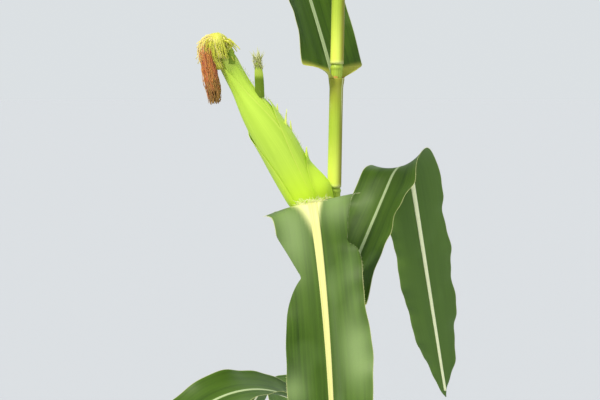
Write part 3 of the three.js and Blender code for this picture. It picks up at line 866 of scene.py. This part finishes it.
def blade_width(plan, t):
    """Width of the blade at a share t of its length: it widens from the collar and tapers to a
    point as one minus t to the power of the leaf's taper."""
    radius = sheath_places(plan, np.ones(1)).radius[0]
    neck = 2 * radius * np.radians(POCKET_WRAP if plan.ear else COLLAR_WRAP)
    widening = smooth(0, BLADE_WIDENS, t * plan.length)
    if plan.ear:
        neck = mix(neck, EAR_BLADE_NECK, smooth(0, EAR_BLADE_NECK_BY, t))
        widening = smooth(*EAR_BLADE_WIDENS, t)
    return mix(neck, plan.width, widening) * (1 - t**plan.taper) ** BLADE_POINT + TIP_WIDTH * t


def blade_channel(plan, t):
    """Half angle of the blade's arc: it opens from the collar and flattens towards the tip."""
    if plan.ear:
        opened = smooth(0, EAR_BLADE_CHANNEL_BY, t)
        return np.radians(mix(POCKET_WRAP, EAR_BLADE_CHANNEL, opened))
    opened = mix(COLLAR_WRAP, BLADE_CHANNEL, smooth(0, COLLAR_OPENS, t * plan.length))
    return np.radians(mix(opened, TIP_CHANNEL, smooth(0.2, 1, t)))


def blade_lift(plan, d, u):
    """How far the blade's margins leave its arc: long ruffles, which rise on one side as they fall
    on the other, short ripples, auricles at the collar, and the ear leaf's rolled margins."""
    t = d / plan.length
    away = np.abs(u)
    ruffle = RUFFLE * smooth(0.1, 0.3, t) * np.sin(2 * np.pi * d / RUFFLE_WAVE + plan.k)
    phase = 2 * np.pi * d / np.where(u < 0, *RIPPLE_WAVES) + 2.3 * plan.k + 1.1 * u
    ripple = RIPPLE * smooth(0.07, 0.2, t) * np.sin(phase)
    flare = AURICLE_FLARE * smooth(0, AURICLE_GROWS, d) * (1 - smooth(*AURICLE_FADES, d))
    rolled = margin_fold(plan, d, u, "roll") * u * u
    return ruffle * u * away + ripple * away**3 - (0 if plan.ear else flare) * away**5 - rolled


def margin_fold(plan, d, u, what):
    """How far the ear leaf's margin on u's side is drawn in or rolled under at a distance d: it
    grows evenly up to the fold's corner and fades exponentially after it."""
    if not plan.ear:
        return 0 * d * u
    sides = [
        getattr(fold, what)
        * np.clip((d - fold.start) / (fold.corner - fold.start), 0, 1)
        * np.exp(-np.maximum(0, d - fold.corner) / fold.fade)
        for fold in EAR_FOLDS
    ]
    return np.where(u < 0, *sides)


def roof_drop(plan, points, d):
    """How far points of the ear leaf sink under the roof over its crest: by a soft step, the
    logarithm of one plus the exponential of their height over it."""
    if not plan.ear:
        return 0 * points[..., 2]
    middle = plan.walk.point
    x, y, z = np.moveaxis(points - middle[np.argmax(middle[:, 2])], -1, 0)
    roof = ROOF.rise + x * np.where(x < 0, ROOF.left, ROOF.right) - ROOF.back * np.maximum(y, 0)
    return smooth(0, ROOF.full, d) * ROOF.soft * np.log1p(np.exp((z - roof) / ROOF.soft))


def blade_rings(plan, rows, columns):
    """Rings of a blade at rows of its midline and columns across it."""
    place = rows_of(plan.walk, rows)
    d = place.d.astype(float)[:, None]
    t = d / plan.length
    u = columns * (1 - margin_fold(plan, d, columns, "draw"))
    wrap = blade_channel(plan, t[:, 0])
    radius = blade_width(plan, t[:, 0]) / 2 / wrap
    thickness = mix(BLADE_THICKNESS, MARGIN_THICKNESS, np.abs(u)) * mix(1, TIP_THINNING, t)
    rings = section_rings(place, radius, wrap, u, thickness, blade_lift(plan, d, u))
    upper = rings[:, columns.shape[1] :][:, ::-1]
    rings[..., 2] -= both_faces(roof_drop(plan, upper, d))
    return rings, u, d


def blade(plan):
    """A leaf's blade, with its golden or, on the ear leaf, pale collar patch, its pale margins and
    the ear leaf's painted sheen. Rows lie closer near the collar."""
    last = len(plan.walk.d) - 1
    rows = np.unique(np.round([*np.linspace(0, 40, 21), *np.linspace(44, last, 170)]).astype(int))
    rings, u, d = blade_rings(plan, rows, spread_columns(31)[None])
    away = np.abs(u)
    across = u * plan.width / 2
    places = joined(across, d)
    pale = golden = bloom = 0 * u
    if plan.ear:
        patch = EAR_COLLAR_PATCH
        reach = np.where(u < 0, -across / patch.left, across / patch.right) + d / patch.length
        pale = 1 - smooth(0.72, 1, reach)
        # Grey patches of painted sheen, each a soft spot where the ear leaf would catch the light
        for at, aside, length, breadth, strength in EAR_PAINTED_SHEEN:
            near = ((d - at) / length) ** 2 + ((u - aside) / breadth) ** 2
            bloom = np.maximum(bloom, strength * np.exp(-near))
    else:
        golden = 1 - smooth(0.55, 1.2, d / mix(*COLLAR_PATCH, away))
    solids = [f"leaf_{plan.label}_base", f"leaf_{plan.label}_tip"]
    places = (places, places + [plan.width, 0])
    sheet(
        f"leaf_{plan.label}_blade", rings, BLADE, "blade", solids, places,
        under=(np.ones(u.shape), np.zeros(u.shape)),
        pale=np.maximum(pale, MARGIN_PALENESS * smooth(CLOSE_TO_MARGIN, 1, away)),
        golden=golden,
        bloom=(0 * bloom, bloom),
    )


def midrib(plan):
    """A leaf's midrib: a shallow band on the upper face, sunk along its middle, over a rounded and
    often wider keel. Its width falls exponentially towards the tip."""
    place = rows_of(plan.walk, np.arange(0, int(plan.length * MIDRIB_END), MIDRIB_STEP))
    t = place.d / plan.length
    rib = EAR_RIB if plan.ear else LEAF_RIB
    width = rib.width * np.exp(-t / rib.fade) * plan.width / EAR_BLADE_WIDTH + MIDRIB_TIP_WIDTH
    angle = circle(MIDRIB_SIDES)
    height = np.sin(angle)
    x = width[:, None] / 2 * np.cos(angle) * np.where(height < -0.1, rib.keel, 1)
    keel = (MIDRIB_KEEL * width / rib.width + MIDRIB_TIP_KEEL)[:, None] * height - MIDRIB_SEAT
    band = MIDRIB_RAISE * (1 - MIDRIB_GROOVE * height**4) * smooth(0, 0.35, height)
    radius = blade_width(plan, t) / 2 / blade_channel(plan, t)
    lift = np.where(height > 0, band, keel)
    rings, _ = arc_points(place, radius, x / radius[:, None], lift)
    rings[..., 2] -= roof_drop(plan, place.point, place.d)[:, None]
    material = MIDRIB if plan.ear else GREEN_MIDRIB
    under = np.broadcast_to(height < -0.2, x.shape)
    places = joined(x, place.d[:, None])
    piece(f"leaf_{plan.label}_midrib", rings, material, "midrib", uv=places, under=under)


def ligule(plan):
    """A leaf's ligule: a thin ragged collar of membrane round the stalk, above the sheath."""
    share, u = sheet_grid(61, 6)
    ragged = 1 - LIGULE_RAGGED + LIGULE_RAGGED * np.sin(23 * u + plan.k) * np.sin(57 * u)
    height = LIGULE_HEIGHT * (share * ragged - LIGULE_RAGGED)
    middle = stalk_middle(np.array([plan.collar]))[0]
    radius = stalk_radius(plan.collar) + SHEATH_FIT + COLLAR_FLARE * (1 - 0.6 * share)
    spoke = around(plan.azimuth + u * np.radians(LIGULE_WRAP))
    outer = middle + radius[..., None] * spoke + height[..., None] * Z
    return both_faces((outer, outer - LIGULE_THICKNESS * spoke))


def crest_hairs(plan):
    """Curled pale hairs and shreds of ligule on the ear leaf's crest, round the ear's foot."""
    columns = np.linspace(-0.3, 0.3, 13)[None]
    rings, *_ = blade_rings(plan, np.arange(16, 70, 2), columns)
    count = CREST_HAIRS.count
    row = RANDOM.integers(0, len(rings), count)
    roots = rings[row, columns.size + RANDOM.integers(0, columns.size, count)]
    ways = unit(RANDOM.normal([0, -0.2, 1], [0.8, 0.5, 0.3], (count, 3)))
    lengths = RANDOM.uniform(CREST_HAIRS.shortest, CREST_HAIRS.longest, count)
    return hairs(roots, ways, lengths, CREST_HAIRS.radius, CREST_HAIRS.droop)


def margin_hairs(plan):
    """Short stiff hairs along both margins of a blade, leaning towards its tip."""
    rows = np.arange(20, int(plan.length * 0.97), MARGIN_HAIR_SPACING).astype(int)
    rings, *_ = blade_rings(plan, rows, np.array([[-1, -0.9, 0.9, 1]]))
    made = []
    for edge, inside in ((0, 1), (3, 2)):
        roots = rings[:, edge]
        leaning = unit(roots - rings[:, inside]) + 0.8 * plan.walk.along[rows]
        ways = unit(leaning + 0.25 * RANDOM.normal(size=roots.shape))
        lengths = MARGIN_HAIR * RANDOM.uniform(0.6, 1.3, len(roots))
        made.append(hairs(roots, ways, lengths, FINE_HAIR_RADIUS))
    return np.concatenate(made)


# Stalk and roots

def stalk():
    """The bare stalk: radius over height and angle is the taper, a bell-shaped swelling and groove
    at each node, a flare at the foot and shallow ribs. Rows lie closer at the nodes."""
    near_nodes = [height + np.linspace(-7, 7, 29) for height in NODE_Z[1:]]
    z = np.unique(np.concatenate([np.linspace(0, STALK_TOP, 420), *near_nodes]))
    z = z[(z >= 0) & (z <= STALK_TOP)]
    away = z[:, None] - NODE_Z[1:]
    swell = NODE_BULGE * np.exp(-((away / NODE_BULGE_WIDTH) ** 2)).sum(1)
    over = (away - NODE_HALF_HEIGHT) / NODE_GROOVE_WIDTH
    groove = NODE_GROOVE * np.exp(-(over**2)).sum(1)
    flare = FOOT_FLARE * (1 - smooth(0, FIRST_NODE_HEIGHT, z)) ** 1.5
    angle = circle(STALK_SIDES)
    ribs = RIB_HEIGHT * np.cos(STALK_RIBS * angle)
    radius = (stalk_radius(z) + swell - groove + flare)[:, None] + ribs
    rings = stalk_middle(z)[:, None] + radius[..., None] * around(angle)
    piece("stalk_rind", rings, STALK_RIND, "stalk", ["stalk"], round_places(rings))


def brace_roots():
    """Two whorls of brace roots: tapered tubes that bow out and down to the ground, where they are
    cut flat, with slow swellings along them."""
    rings = []
    share = np.linspace(0, 1, 26)
    for node, count, reach, turn, radius in BRACE_WHORLS:
        top = NODE_Z[node] - NODE_HALF_HEIGHT
        for number in range(count):
            out = around(np.radians(turn + 360 * number / count))
            start = out * (stalk_radius(top) - ROOT_SUNK) + top * Z
            knee = out * reach * ROOT_KNEE + top * ROOT_KNEE * Z
            foot = out * reach - 2 * radius * Z
            path = through([start, knee, foot], 60)
            gone = share * np.interp(0, path[::-1, 2], np.linspace(1, 0, len(path)))
            swelling = 1 + 0.07 * np.sin(19 * share + 5 * number) + 0.05 * np.sin(43 * share + number)
            radii = radius * (ROOT_SWELL - ROOT_TAPER * gone) * swelling
            root = tubes(along_path(path, gone), radii, 14, np.cross(out, Z))
            root[..., 2] = np.maximum(root[..., 2], 0)
            rings.append(root)
    rings = np.stack(rings)
    piece("brace_roots", rings, ROOT_RIND, "stalk", ["stalk"], round_places(rings))


# Ear

def ear_axes():
    """The ear's foot and its axes: along it, towards its left flank and out of its front."""
    node = NODE_Z[EAR_LEAF + 1]
    foot = stalk_middle(node) + [*EAR_FOOT, -EAR_FOOT_DROP]
    lean, forward = np.radians(EAR_LEAN), np.radians(EAR_FORWARD)
    along = unit(np.array([-np.sin(lean), -np.sin(forward), np.cos(lean)]))
    front = unit(np.cross(along, [-np.cos(lean), 0, -np.sin(lean)]))
    return SimpleNamespace(foot=foot, along=along, front=front, left=np.cross(front, along))


EAR = ear_axes()
EAR_CURVE = through(np.array(EAR_PROFILE) * [EAR_LENGTH, 1], 400)


def ear_middle(share):
    """The ear's middle at a share of its length, bowed to the left above its waist."""
    share = np.asarray(share, float)[..., None]
    return EAR.foot + EAR.along * EAR_LENGTH * share + EAR.left * EAR_BOW * smooth(0.4, 0.8, share)


def ear_radius(share):
    """The radius over the outermost husk, on a smooth curve through the ear's profile."""
    return np.interp(np.asarray(share) * EAR_LENGTH, *EAR_CURVE.T)


def round_ear(share, angle, radius):
    """Points round the ear, by angle from its left flank towards its front."""
    return ear_middle(share) + radius[..., None] * around(angle, EAR.left, EAR.front)


def ear_heart():
    """The closed husks inside, a plain spindle under the sheets that show."""
    share, angle = np.broadcast_arrays(np.linspace(0.01, 0.97, 60)[:, None], circle(40))
    radius = ear_radius(share) - HUSK_STEP * len(HUSKS) - FIT
    rings = round_ear(share, angle, np.maximum(radius, 2))
    piece("ear_heart", rings, SHANK_RIND, "husk", ["ear_husks"], round_places(rings))


def husk(number, middle, wrap, foot, tip, point=4, lift=0.9, bulge=0):
    """One husk: a sheet round the ear whose half angle narrows to its tip as one minus a power of
    its own length. Its margins and its tip stand a little off the husk under it."""
    t, u = sheet_grid(41, 70, 20)
    share = mix(foot, tip, t)
    angle = np.radians(middle) + u * (np.radians(wrap) * (1 - t**point) ** 0.75 + 0.03)
    loose = HUSK_MARGIN_LIFT * np.abs(u) ** 8 + lift * smooth(0.8, 1, t)
    swollen = bulge * smooth(0, 0.06, share) * (1 - smooth(0.14, 0.34, share)) * (1 - u * u) ** 2
    crease = HUSK_CREASE * np.sin(HUSK_CREASES * angle + 2 * number) * smooth(0, 0.1, share)
    layer = HUSK_STEP * (len(HUSKS) - 1 - number)
    radius = ear_radius(share) - layer + loose + swollen + crease
    outer = round_ear(share, angle, radius)
    inner = round_ear(share, angle, radius - HUSK_THICKNESS)
    places = joined(u * np.radians(wrap) * HUSK_PATTERN_RADIUS, share * EAR_LENGTH)
    places = places + [HUSK_PATTERN_STEP * number, 0]
    pale = np.maximum(0.6 * smooth(0.965, 0.995, np.abs(u)), smooth(0.84, 0.97, share))
    # Painted light: the lower part of the ear is painted brighter, against its shading
    fresh = HUSK_PAINTED_LIGHT * (1 - smooth(0.1, 0.42, share))
    rings = both_faces((outer, inner))
    marks = dict(pale=pale, dark=0 * pale, fresh=fresh)
    sheet(f"husk_{number + 1}", rings, HUSK, "husk", ["ear_husks"], places, **marks)


def flag_foot(at, side):
    """Where a free husk blade leaves the ear."""
    spoke = around(np.radians(side), -EAR.left, EAR.front)
    return ear_middle(at) + spoke * (ear_radius(at) - FLAG_SEAT)


def flag(number, at, side, length, width, splay, taper, green=0, shade=0, sunk=FLAG_SUNK):
    """A husk's free blade or tip: a thin channelled leaf that stands up from the ear's right flank.
    Its half width falls as one minus a power of its length. It is green below and dry above."""
    t, u = sheet_grid(15, 50)
    x = u * (width / 2 * (1 - t**taper) + 0.3) + splay * t * t
    y = FLAG_CHANNEL * width * (t - 2) * (1 - u * u) + FLAG_WAVE * np.sin(9 * t + u) * t
    z = length * t - min(sunk, 0.35 * length)
    front = flag_foot(at, side) + joined(x, y, z)
    rings = both_faces((front, front + [0, HUSK_THICKNESS, 0]))
    places = joined(x + 40 * number, z)
    dry = smooth(green, green + FLAG_DRIES_OVER, t)
    marks = dict(pale=dry * (1 - 0.6 * shade), dark=(1 - 0.5 * dry) * shade, fresh=0 * dry)
    sheet(f"husk_flag_{number + 1}", rings, HUSK, "husk", ["ear_husks"], places, **marks)


def ear():
    """The ear in its husks, with free husk blades, the frayed tip of the long one, and hairs along
    the right flank."""
    ear_heart()
    for number, plan in enumerate(HUSKS):
        husk(number, *plan)
    for number, plan in enumerate(FLAGS):
        flag(number, *plan)
    at, side, length, width, splay, *_, sunk = FLAGS[0]
    count = FRAY.count
    t = RANDOM.uniform(0.7, 0.99, count)
    x = RANDOM.uniform(-1, 1, count) * width / 2 + splay * t * t
    y = RANDOM.uniform(-2, 0.6, count)
    roots = flag_foot(at, side) + joined(x, y, length * t - sunk)
    ways = unit(RANDOM.normal([-0.25, 0, 1], [0.4, 0.3, 0], (count, 3)))
    frays = hairs(roots, ways, RANDOM.uniform(FRAY.shortest, FRAY.longest, count), FRAY.radius)
    piece("husk_flag_fray", frays, STRAW, "husk")
    flank, count = FLANK_HAIRS, FLANK_HAIRS.count
    share = RANDOM.uniform(0.12, 0.86, count)
    angle = np.radians(RANDOM.normal(flank.middle, flank.spread, count))
    roots = round_ear(share, angle, ear_radius(share) - flank.sunk)
    ways = unit(roots - ear_middle(share)) + RANDOM.uniform(0.8, 2.4, (count, 1)) * EAR.along
    ways = unit(ways + 0.2 * RANDOM.normal(size=ways.shape))
    lengths = RANDOM.uniform(flank.shortest, flank.longest, count)
    piece("husk_hairs", hairs(roots, ways, lengths, FINE_HAIR_RADIUS), PALE_HAIR, "husk")


def shank():
    """The ear's shank: a short stem with close rings, from the stalk up into the ear's foot."""
    z = NODE_Z[EAR_LEAF] + SHANK_RISE
    foot = stalk_middle(z) - (stalk_radius(z) + SHANK_FOOT_RADIUS + FIT) * X
    end = EAR.foot - EAR.along * FIT
    bend = end - EAR.along * SHANK_BEND
    rising, bending = foot + [-2.4, -3, 28], bend + [0, 3, -1.6 * SHANK_BEND]
    path = through([foot, rising, bending, bend, end], 70)
    t = np.linspace(0, 1, len(path))
    ridges = SHANK_RING_HEIGHT * np.cos(2 * np.pi * SHANK_RINGS * t) ** 8
    radii = mix(SHANK_FOOT_RADIUS, SHANK_RADIUS, smooth(0, 0.6, t)) + ridges
    rings = tubes(path, radii, 24, Y)
    piece("shank", rings, SHANK_RIND, "stalk", ["ear_shank"], round_places(rings))


# Silk

def filled_out(share):
    """The lock's width over its full one: it fills out from the ear's tip."""
    return 0.6 + 0.45 * smooth(0.03, 0.3, share)


def lock_strands(middle, fades):
    """Adds the lock's strands. Each drifts round the lock's middle, kinks by a sine wave, and is
    cut where it dries from yellow over rust or red to brown."""
    n, rows = LOCK.strands, 26
    reach = 1 - LOCK.shortened * RANDOM.uniform(0, 1, n)
    t = reach[:, None] * np.linspace(0, 1, rows)
    centre = along_path(middle, t)
    first, second = square_axes(centre, Y)
    spread = LOCK.radius * filled_out(t) * (1 - 0.2 * smooth(0.8, 1, t))
    turn = RANDOM.uniform(0, 2 * np.pi, n)[:, None] + RANDOM.normal(0, 0.5, n)[:, None] * t
    stray = np.where(RANDOM.uniform(0, 1, n) < LOCK.straying, LOCK.stray, 1)
    out = (stray * np.sqrt(RANDOM.uniform(0, 1, n)))[:, None] * spread
    waves = RANDOM.uniform(3, 7, (n, 1)) * t + RANDOM.uniform(0, 1, (n, 1))
    kink = RANDOM.uniform(0.4, 1.7, (n, 1)) * wave(waves) * smooth(0, 0.15, t)
    strands = centre + (out * np.cos(turn))[..., None] * first
    strands = strands + (LOCK.widening * out * np.sin(turn) + kink)[..., None] * second
    left = -np.sin(turn[:, 0])
    dry = RANDOM.normal(*LOCK.dry, n) + 0.1 * smooth(0.6, 1, left)
    dead = RANDOM.normal(*LOCK.dead, n)
    red = RANDOM.uniform(0, 1, n) < LOCK.reddened
    cuts = [
        ("silk_tuft", 0 * dry, dry, left > 0.1),
        ("silk_yellow", 0 * dry, dry, left <= 0.1),
        ("silk_rust", dry, dead, ~red),
        ("silk_red", dry, dead, red),
        ("silk_brown", dead, np.ones(n), np.ones(n, bool)),
    ]
    row = np.arange(n)[:, None]
    for name, start, end, chosen in cuts:
        shares = mix(start[:, None], end[:, None], np.linspace(0, 1, 11)) * (rows - 1)
        low = np.clip(np.floor(shares).astype(int), 0, rows - 2)
        paths, hints = (
            mix(laid[row, low], laid[row, low + 1], (shares - low)[..., None])[chosen]
            for laid in (strands, first)
        )
        fades[name].append(tubes(paths, STRAND_RADIUS, STRAND_SIDES, hints))


def fine_silk(paths):
    """Thin strands of fresh silk along paths."""
    return tubes(paths, TUFT_RADIUS, STRAND_SIDES, Y + 0.3 * X)


def tuft_strands(tip, fades):
    """Adds the tuft's strands: they lean from the ear's tip, curl by a sine wave and droop by the
    square of their length. Fewer of them are cream the further right they stand."""
    n = TUFT.strands
    t = np.linspace(0, 1, 9)[None, :, None]
    root = tip + RANDOM.normal(0, TUFT.roots, (n, 3))
    lean = np.radians(RANDOM.normal(*TUFT.lean, n))
    aside = np.radians(RANDOM.normal(*TUFT.aside, n))
    way = joined(np.sin(lean), -np.sin(aside) * np.cos(lean), np.cos(lean))[:, None]
    length = RANDOM.uniform(*TUFT.length, (n, 1, 1))
    curl = TUFT.curl * wave(TUFT.curls * t + RANDOM.uniform(0, 1, (n, 1, 1))) * t
    tuft = fine_silk(root[:, None] + way * length * t - TUFT.droop * length * t * t * Z + curl * Y)
    cream = RANDOM.normal(0, TUFT.creamy, n) > (root - tip)[:, 0]
    fades["silk_yellow"].append(tuft[~cream])
    fades["silk_tuft"].append(tuft[cream])


def wisps(path, count):
    """Silk strands along a path, set evenly about it, each with a slow wave."""
    t = np.linspace(0, 1, 12)
    turn, rounds, phase = RANDOM.uniform(0, 1, (3, count, 1))
    out = WISP_SPREAD * np.sqrt(RANDOM.uniform(0, 1, (count, 1)))
    waving = WISP_WAVE * wave((1 + rounds) * t + phase) * t
    about = out[..., None] * around(2 * np.pi * turn) + waving[..., None] * X
    return fine_silk(along_path(path, t) + about)


def silk():
    """The silk: a lock of long strands round a matted core, which leaves the ear's tip, turns over
    it and hangs, a tuft of short strands over a matted cap, and silk that lies against the ear."""
    tip = ear_middle(1) + EAR.along * FIT
    middle = through(tip + np.array(LOCK_LINE), 80)
    fades = {name: [] for name in SILK}
    lock_strands(middle, fades)
    tuft_strands(tip, fades)
    for name, start, end in MATTED:
        share = np.linspace(start, end, 24)
        width = MATTED_RADIUS * filled_out(share)
        fades[name].append(tubes(along_path(middle, share), width, 16, Y))
    cap = through(CAP, 24)
    fades["silk_yellow"].append(tubes(tip + cap[:, :3], np.maximum(cap[:, 3], 0.3), 20, Y))
    for places in LYING_SILK:
        lying = through(tip + np.array(places), 30)
        width = LYING_RADIUS * np.sqrt(1 - np.linspace(0.1, 0.99, len(lying)) ** 2)
        fades["silk_yellow"].append(tubes(lying, width, 16, Y))
        fades["silk_yellow"].append(wisps(lying, 70))
        fades["silk_tuft"].append(wisps(lying, 20))
    for name, strands in fades.items():
        piece(name, strands, SILK[name], "silk", ["silk"])


# Tassel

def tassel_paths():
    """The paths of the tassel's spike and branches. Branches leave the spike by the golden angle
    and arch outwards, the lower ones longer and further down."""
    foot = stalk_middle(STALK_TOP) + FIT * Z
    top = foot + [LEAN * 2 * STALK_TOP * SPIKE, 0, SPIKE]
    paths = [(through([foot, mix(foot, top, 0.5), top], 60), SPIKE)]
    for i in range(BRANCHES):
        share = i / (BRANCHES - 1)
        out = around(np.radians(GOLDEN_ANGLE * i))
        length = mix(BRANCH_LONGEST, BRANCH_SHORTEST, share)
        points = [mix(foot, top, (BRANCH_FIRST + BRANCH_STEP * i) / SPIKE)]
        for t in (0.25, 0.5, 0.75, 1):
            rise = np.radians(mix(BRANCH_RISE, mix(*BRANCH_FALLS, share), t))
            points.append(points[-1] + around(rise, out, Z) * length / 4)
        paths.append((through(points, 60), length))
    return paths


def tassel():
    """The tassel: thin stems set with pairs of spikelets, each a pointed grain of five rings, and
    anthers that hang from some of them."""
    stems, roots, ways = [], [], []
    for number, (path, length) in enumerate(tassel_paths()):
        thick, ranks, bare = BRANCH_STEM if number else SPIKE_STEM
        taper = 1 - STEM_TAPER * np.linspace(0, 1, len(path))
        stems.append(tubes(path, thick * taper, 8, Y + 0.2 * X))
        steps = int(length * (1 - bare) / SPIKELET_SPACING)
        share = np.repeat(np.linspace(bare, LAST_SPIKELET, steps), ranks)
        share = np.clip(share + RANDOM.normal(0, 0.004, steps * ranks), 0, 1)
        spun = np.tile(np.arange(ranks) / ranks, steps) + np.repeat(np.arange(steps), ranks) * 0.13
        along = unit(along_path(np.gradient(path, axis=0), share))
        first = unit(np.cross(along, X + 0.4 * Y))
        spoke = around(2 * np.pi * spun, first, np.cross(along, first))
        roots.append(along_path(path, share) + spoke * 0.9)
        splay = along + SPIKELET_SPLAY * spoke
        ways.append(unit(splay + 0.08 * RANDOM.normal(size=spoke.shape)))
    roots, ways = np.concatenate(roots), np.concatenate(ways)
    n = len(roots)
    length = SPIKELET_LENGTH * RANDOM.uniform(0.85, 1.1, (n, 1))
    t, thick = np.array(SPIKELET_PROFILE).T
    grains = spikes(roots, ways, length * t, SPIKELET_RADIUS * thick, 6)
    purple = RANDOM.uniform(0, 1, n) < PURPLE_SHARE
    piece("tassel_stems", stems, RACHIS, "tassel", ["tassel"])
    piece("tassel_spikelets_green", grains[~purple], GLUME_GREEN, "tassel", ["tassel"])
    piece("tassel_spikelets_purple", grains[purple], GLUME_PURPLE, "tassel", ["tassel"])
    opened = RANDOM.uniform(0, 1, n) < OPEN_SHARE
    mouths = (roots + ways * SPIKELET_LENGTH * 0.85)[opened]
    hang = unit(0.35 * RANDOM.normal(size=mouths.shape) - Z)
    t = np.linspace(0, 1, 4)
    threads = spikes(mouths, hang, THREAD_LENGTH * t, THREAD_RADIUS)
    bag = ANTHER_RADIUS * np.array([0.5, 1, 1, 0.5])
    bags = spikes(mouths, hang, THREAD_LENGTH + ANTHER_LENGTH * t, bag)
    piece("tassel_anthers", [threads, bags], ANTHER, "tassel", ["tassel"])


# Assembly
LEAVES = {k: leaf_plan(k) for k in range(FIRST_LEAF, NODES + 1)}

stalk()
brace_roots()
for leaf in LEAVES.values():
    sheath(leaf)
    blade(leaf)
    midrib(leaf)
ligules = [ligule(leaf) for leaf in LEAVES.values() if not leaf.ear]
piece("ligules", ligules, LIGULE, "sheath")
leaf_hairs = [margin_hairs(leaf) for leaf in LEAVES.values()]
piece("leaf_margin_hairs", leaf_hairs + [crest_hairs(LEAVES[EAR_LEAF])], PALE_HAIR, "blade")
shank()
ear()
silk()
tassel()


# Studio: a pale floor, far wide lights, the camera and an even sky

def studio_floor():
    """A plain pale matt floor under the plant, round and wide enough to meet the sky."""
    rim = FLOOR_RADIUS * around(circle(FLOOR_SIDES))
    mesh = bpy.data.meshes.new("studio_floor")
    mesh.from_pydata(rim.tolist(), [], [list(range(FLOOR_SIDES))])
    material, tree = finish("pale matt floor")
    matt = {"Base Color": linear("#a7abb3"), "Roughness": 1.0, "Specular IOR Level": 0.0}
    shader = add(tree, "ShaderNodeBsdfPrincipled", matt)
    add(tree, "ShaderNodeOutputMaterial", {"Surface": shader.outputs["BSDF"]})
    mesh.materials.append(material)
    floor = stand("studio_floor", mesh)


def soft_light(name, rise, turn, softness, strength, colour):
    """A far wide light. It stands at a rise above the floor and at a turn from the front, to the
    right, all in degrees, and its disc is as wide as the softness."""
    lamp = bpy.data.lights.new(name, "SUN")
    lamp.angle = np.radians(softness)
    lamp.energy = strength
    lamp.color = linear(colour)[:3]
    made = stand(name, lamp)
    rise, turn = np.radians(rise), np.radians(turn)
    towards = Vector((np.sin(turn) * np.cos(rise), -np.cos(turn) * np.cos(rise), np.sin(rise)))
    made.location = towards * LAMP_DISTANCE
    made.rotation_euler = towards.to_track_quat("Z", "Y").to_euler()


def camera():
    """The camera stands a good metre before the ear and tips a little down."""
    lens = bpy.data.cameras.new("camera")
    lens.lens = CAMERA_LENS
    lens.sensor_width = CAMERA_SENSOR
    lens.clip_start = CAMERA_NEAR
    lens.clip_end = CAMERA_FAR
    made = stand("camera", lens)
    made.location = CAMERA_PLACE
    made.rotation_euler = (np.radians(90 + CAMERA_PITCH), 0, 0)
    bpy.context.scene.camera = made


def sky():
    """An even pale surround."""
    world = bpy.data.worlds.new("sky")
    world.use_nodes = True
    tree = world.node_tree
    tree.nodes.clear()
    glow = add(tree, "ShaderNodeBackground", {"Color": linear("#e6ebee"), "Strength": SKY_STRENGTH})
    add(tree, "ShaderNodeOutputWorld", {"Surface": glow.outputs["Background"]})
    bpy.context.scene.world = world


studio_floor()
for light in SOFT_LIGHTS:
    soft_light(*light)
camera()
sky()
bpy.context.scene.view_settings.view_transform = "Standard"
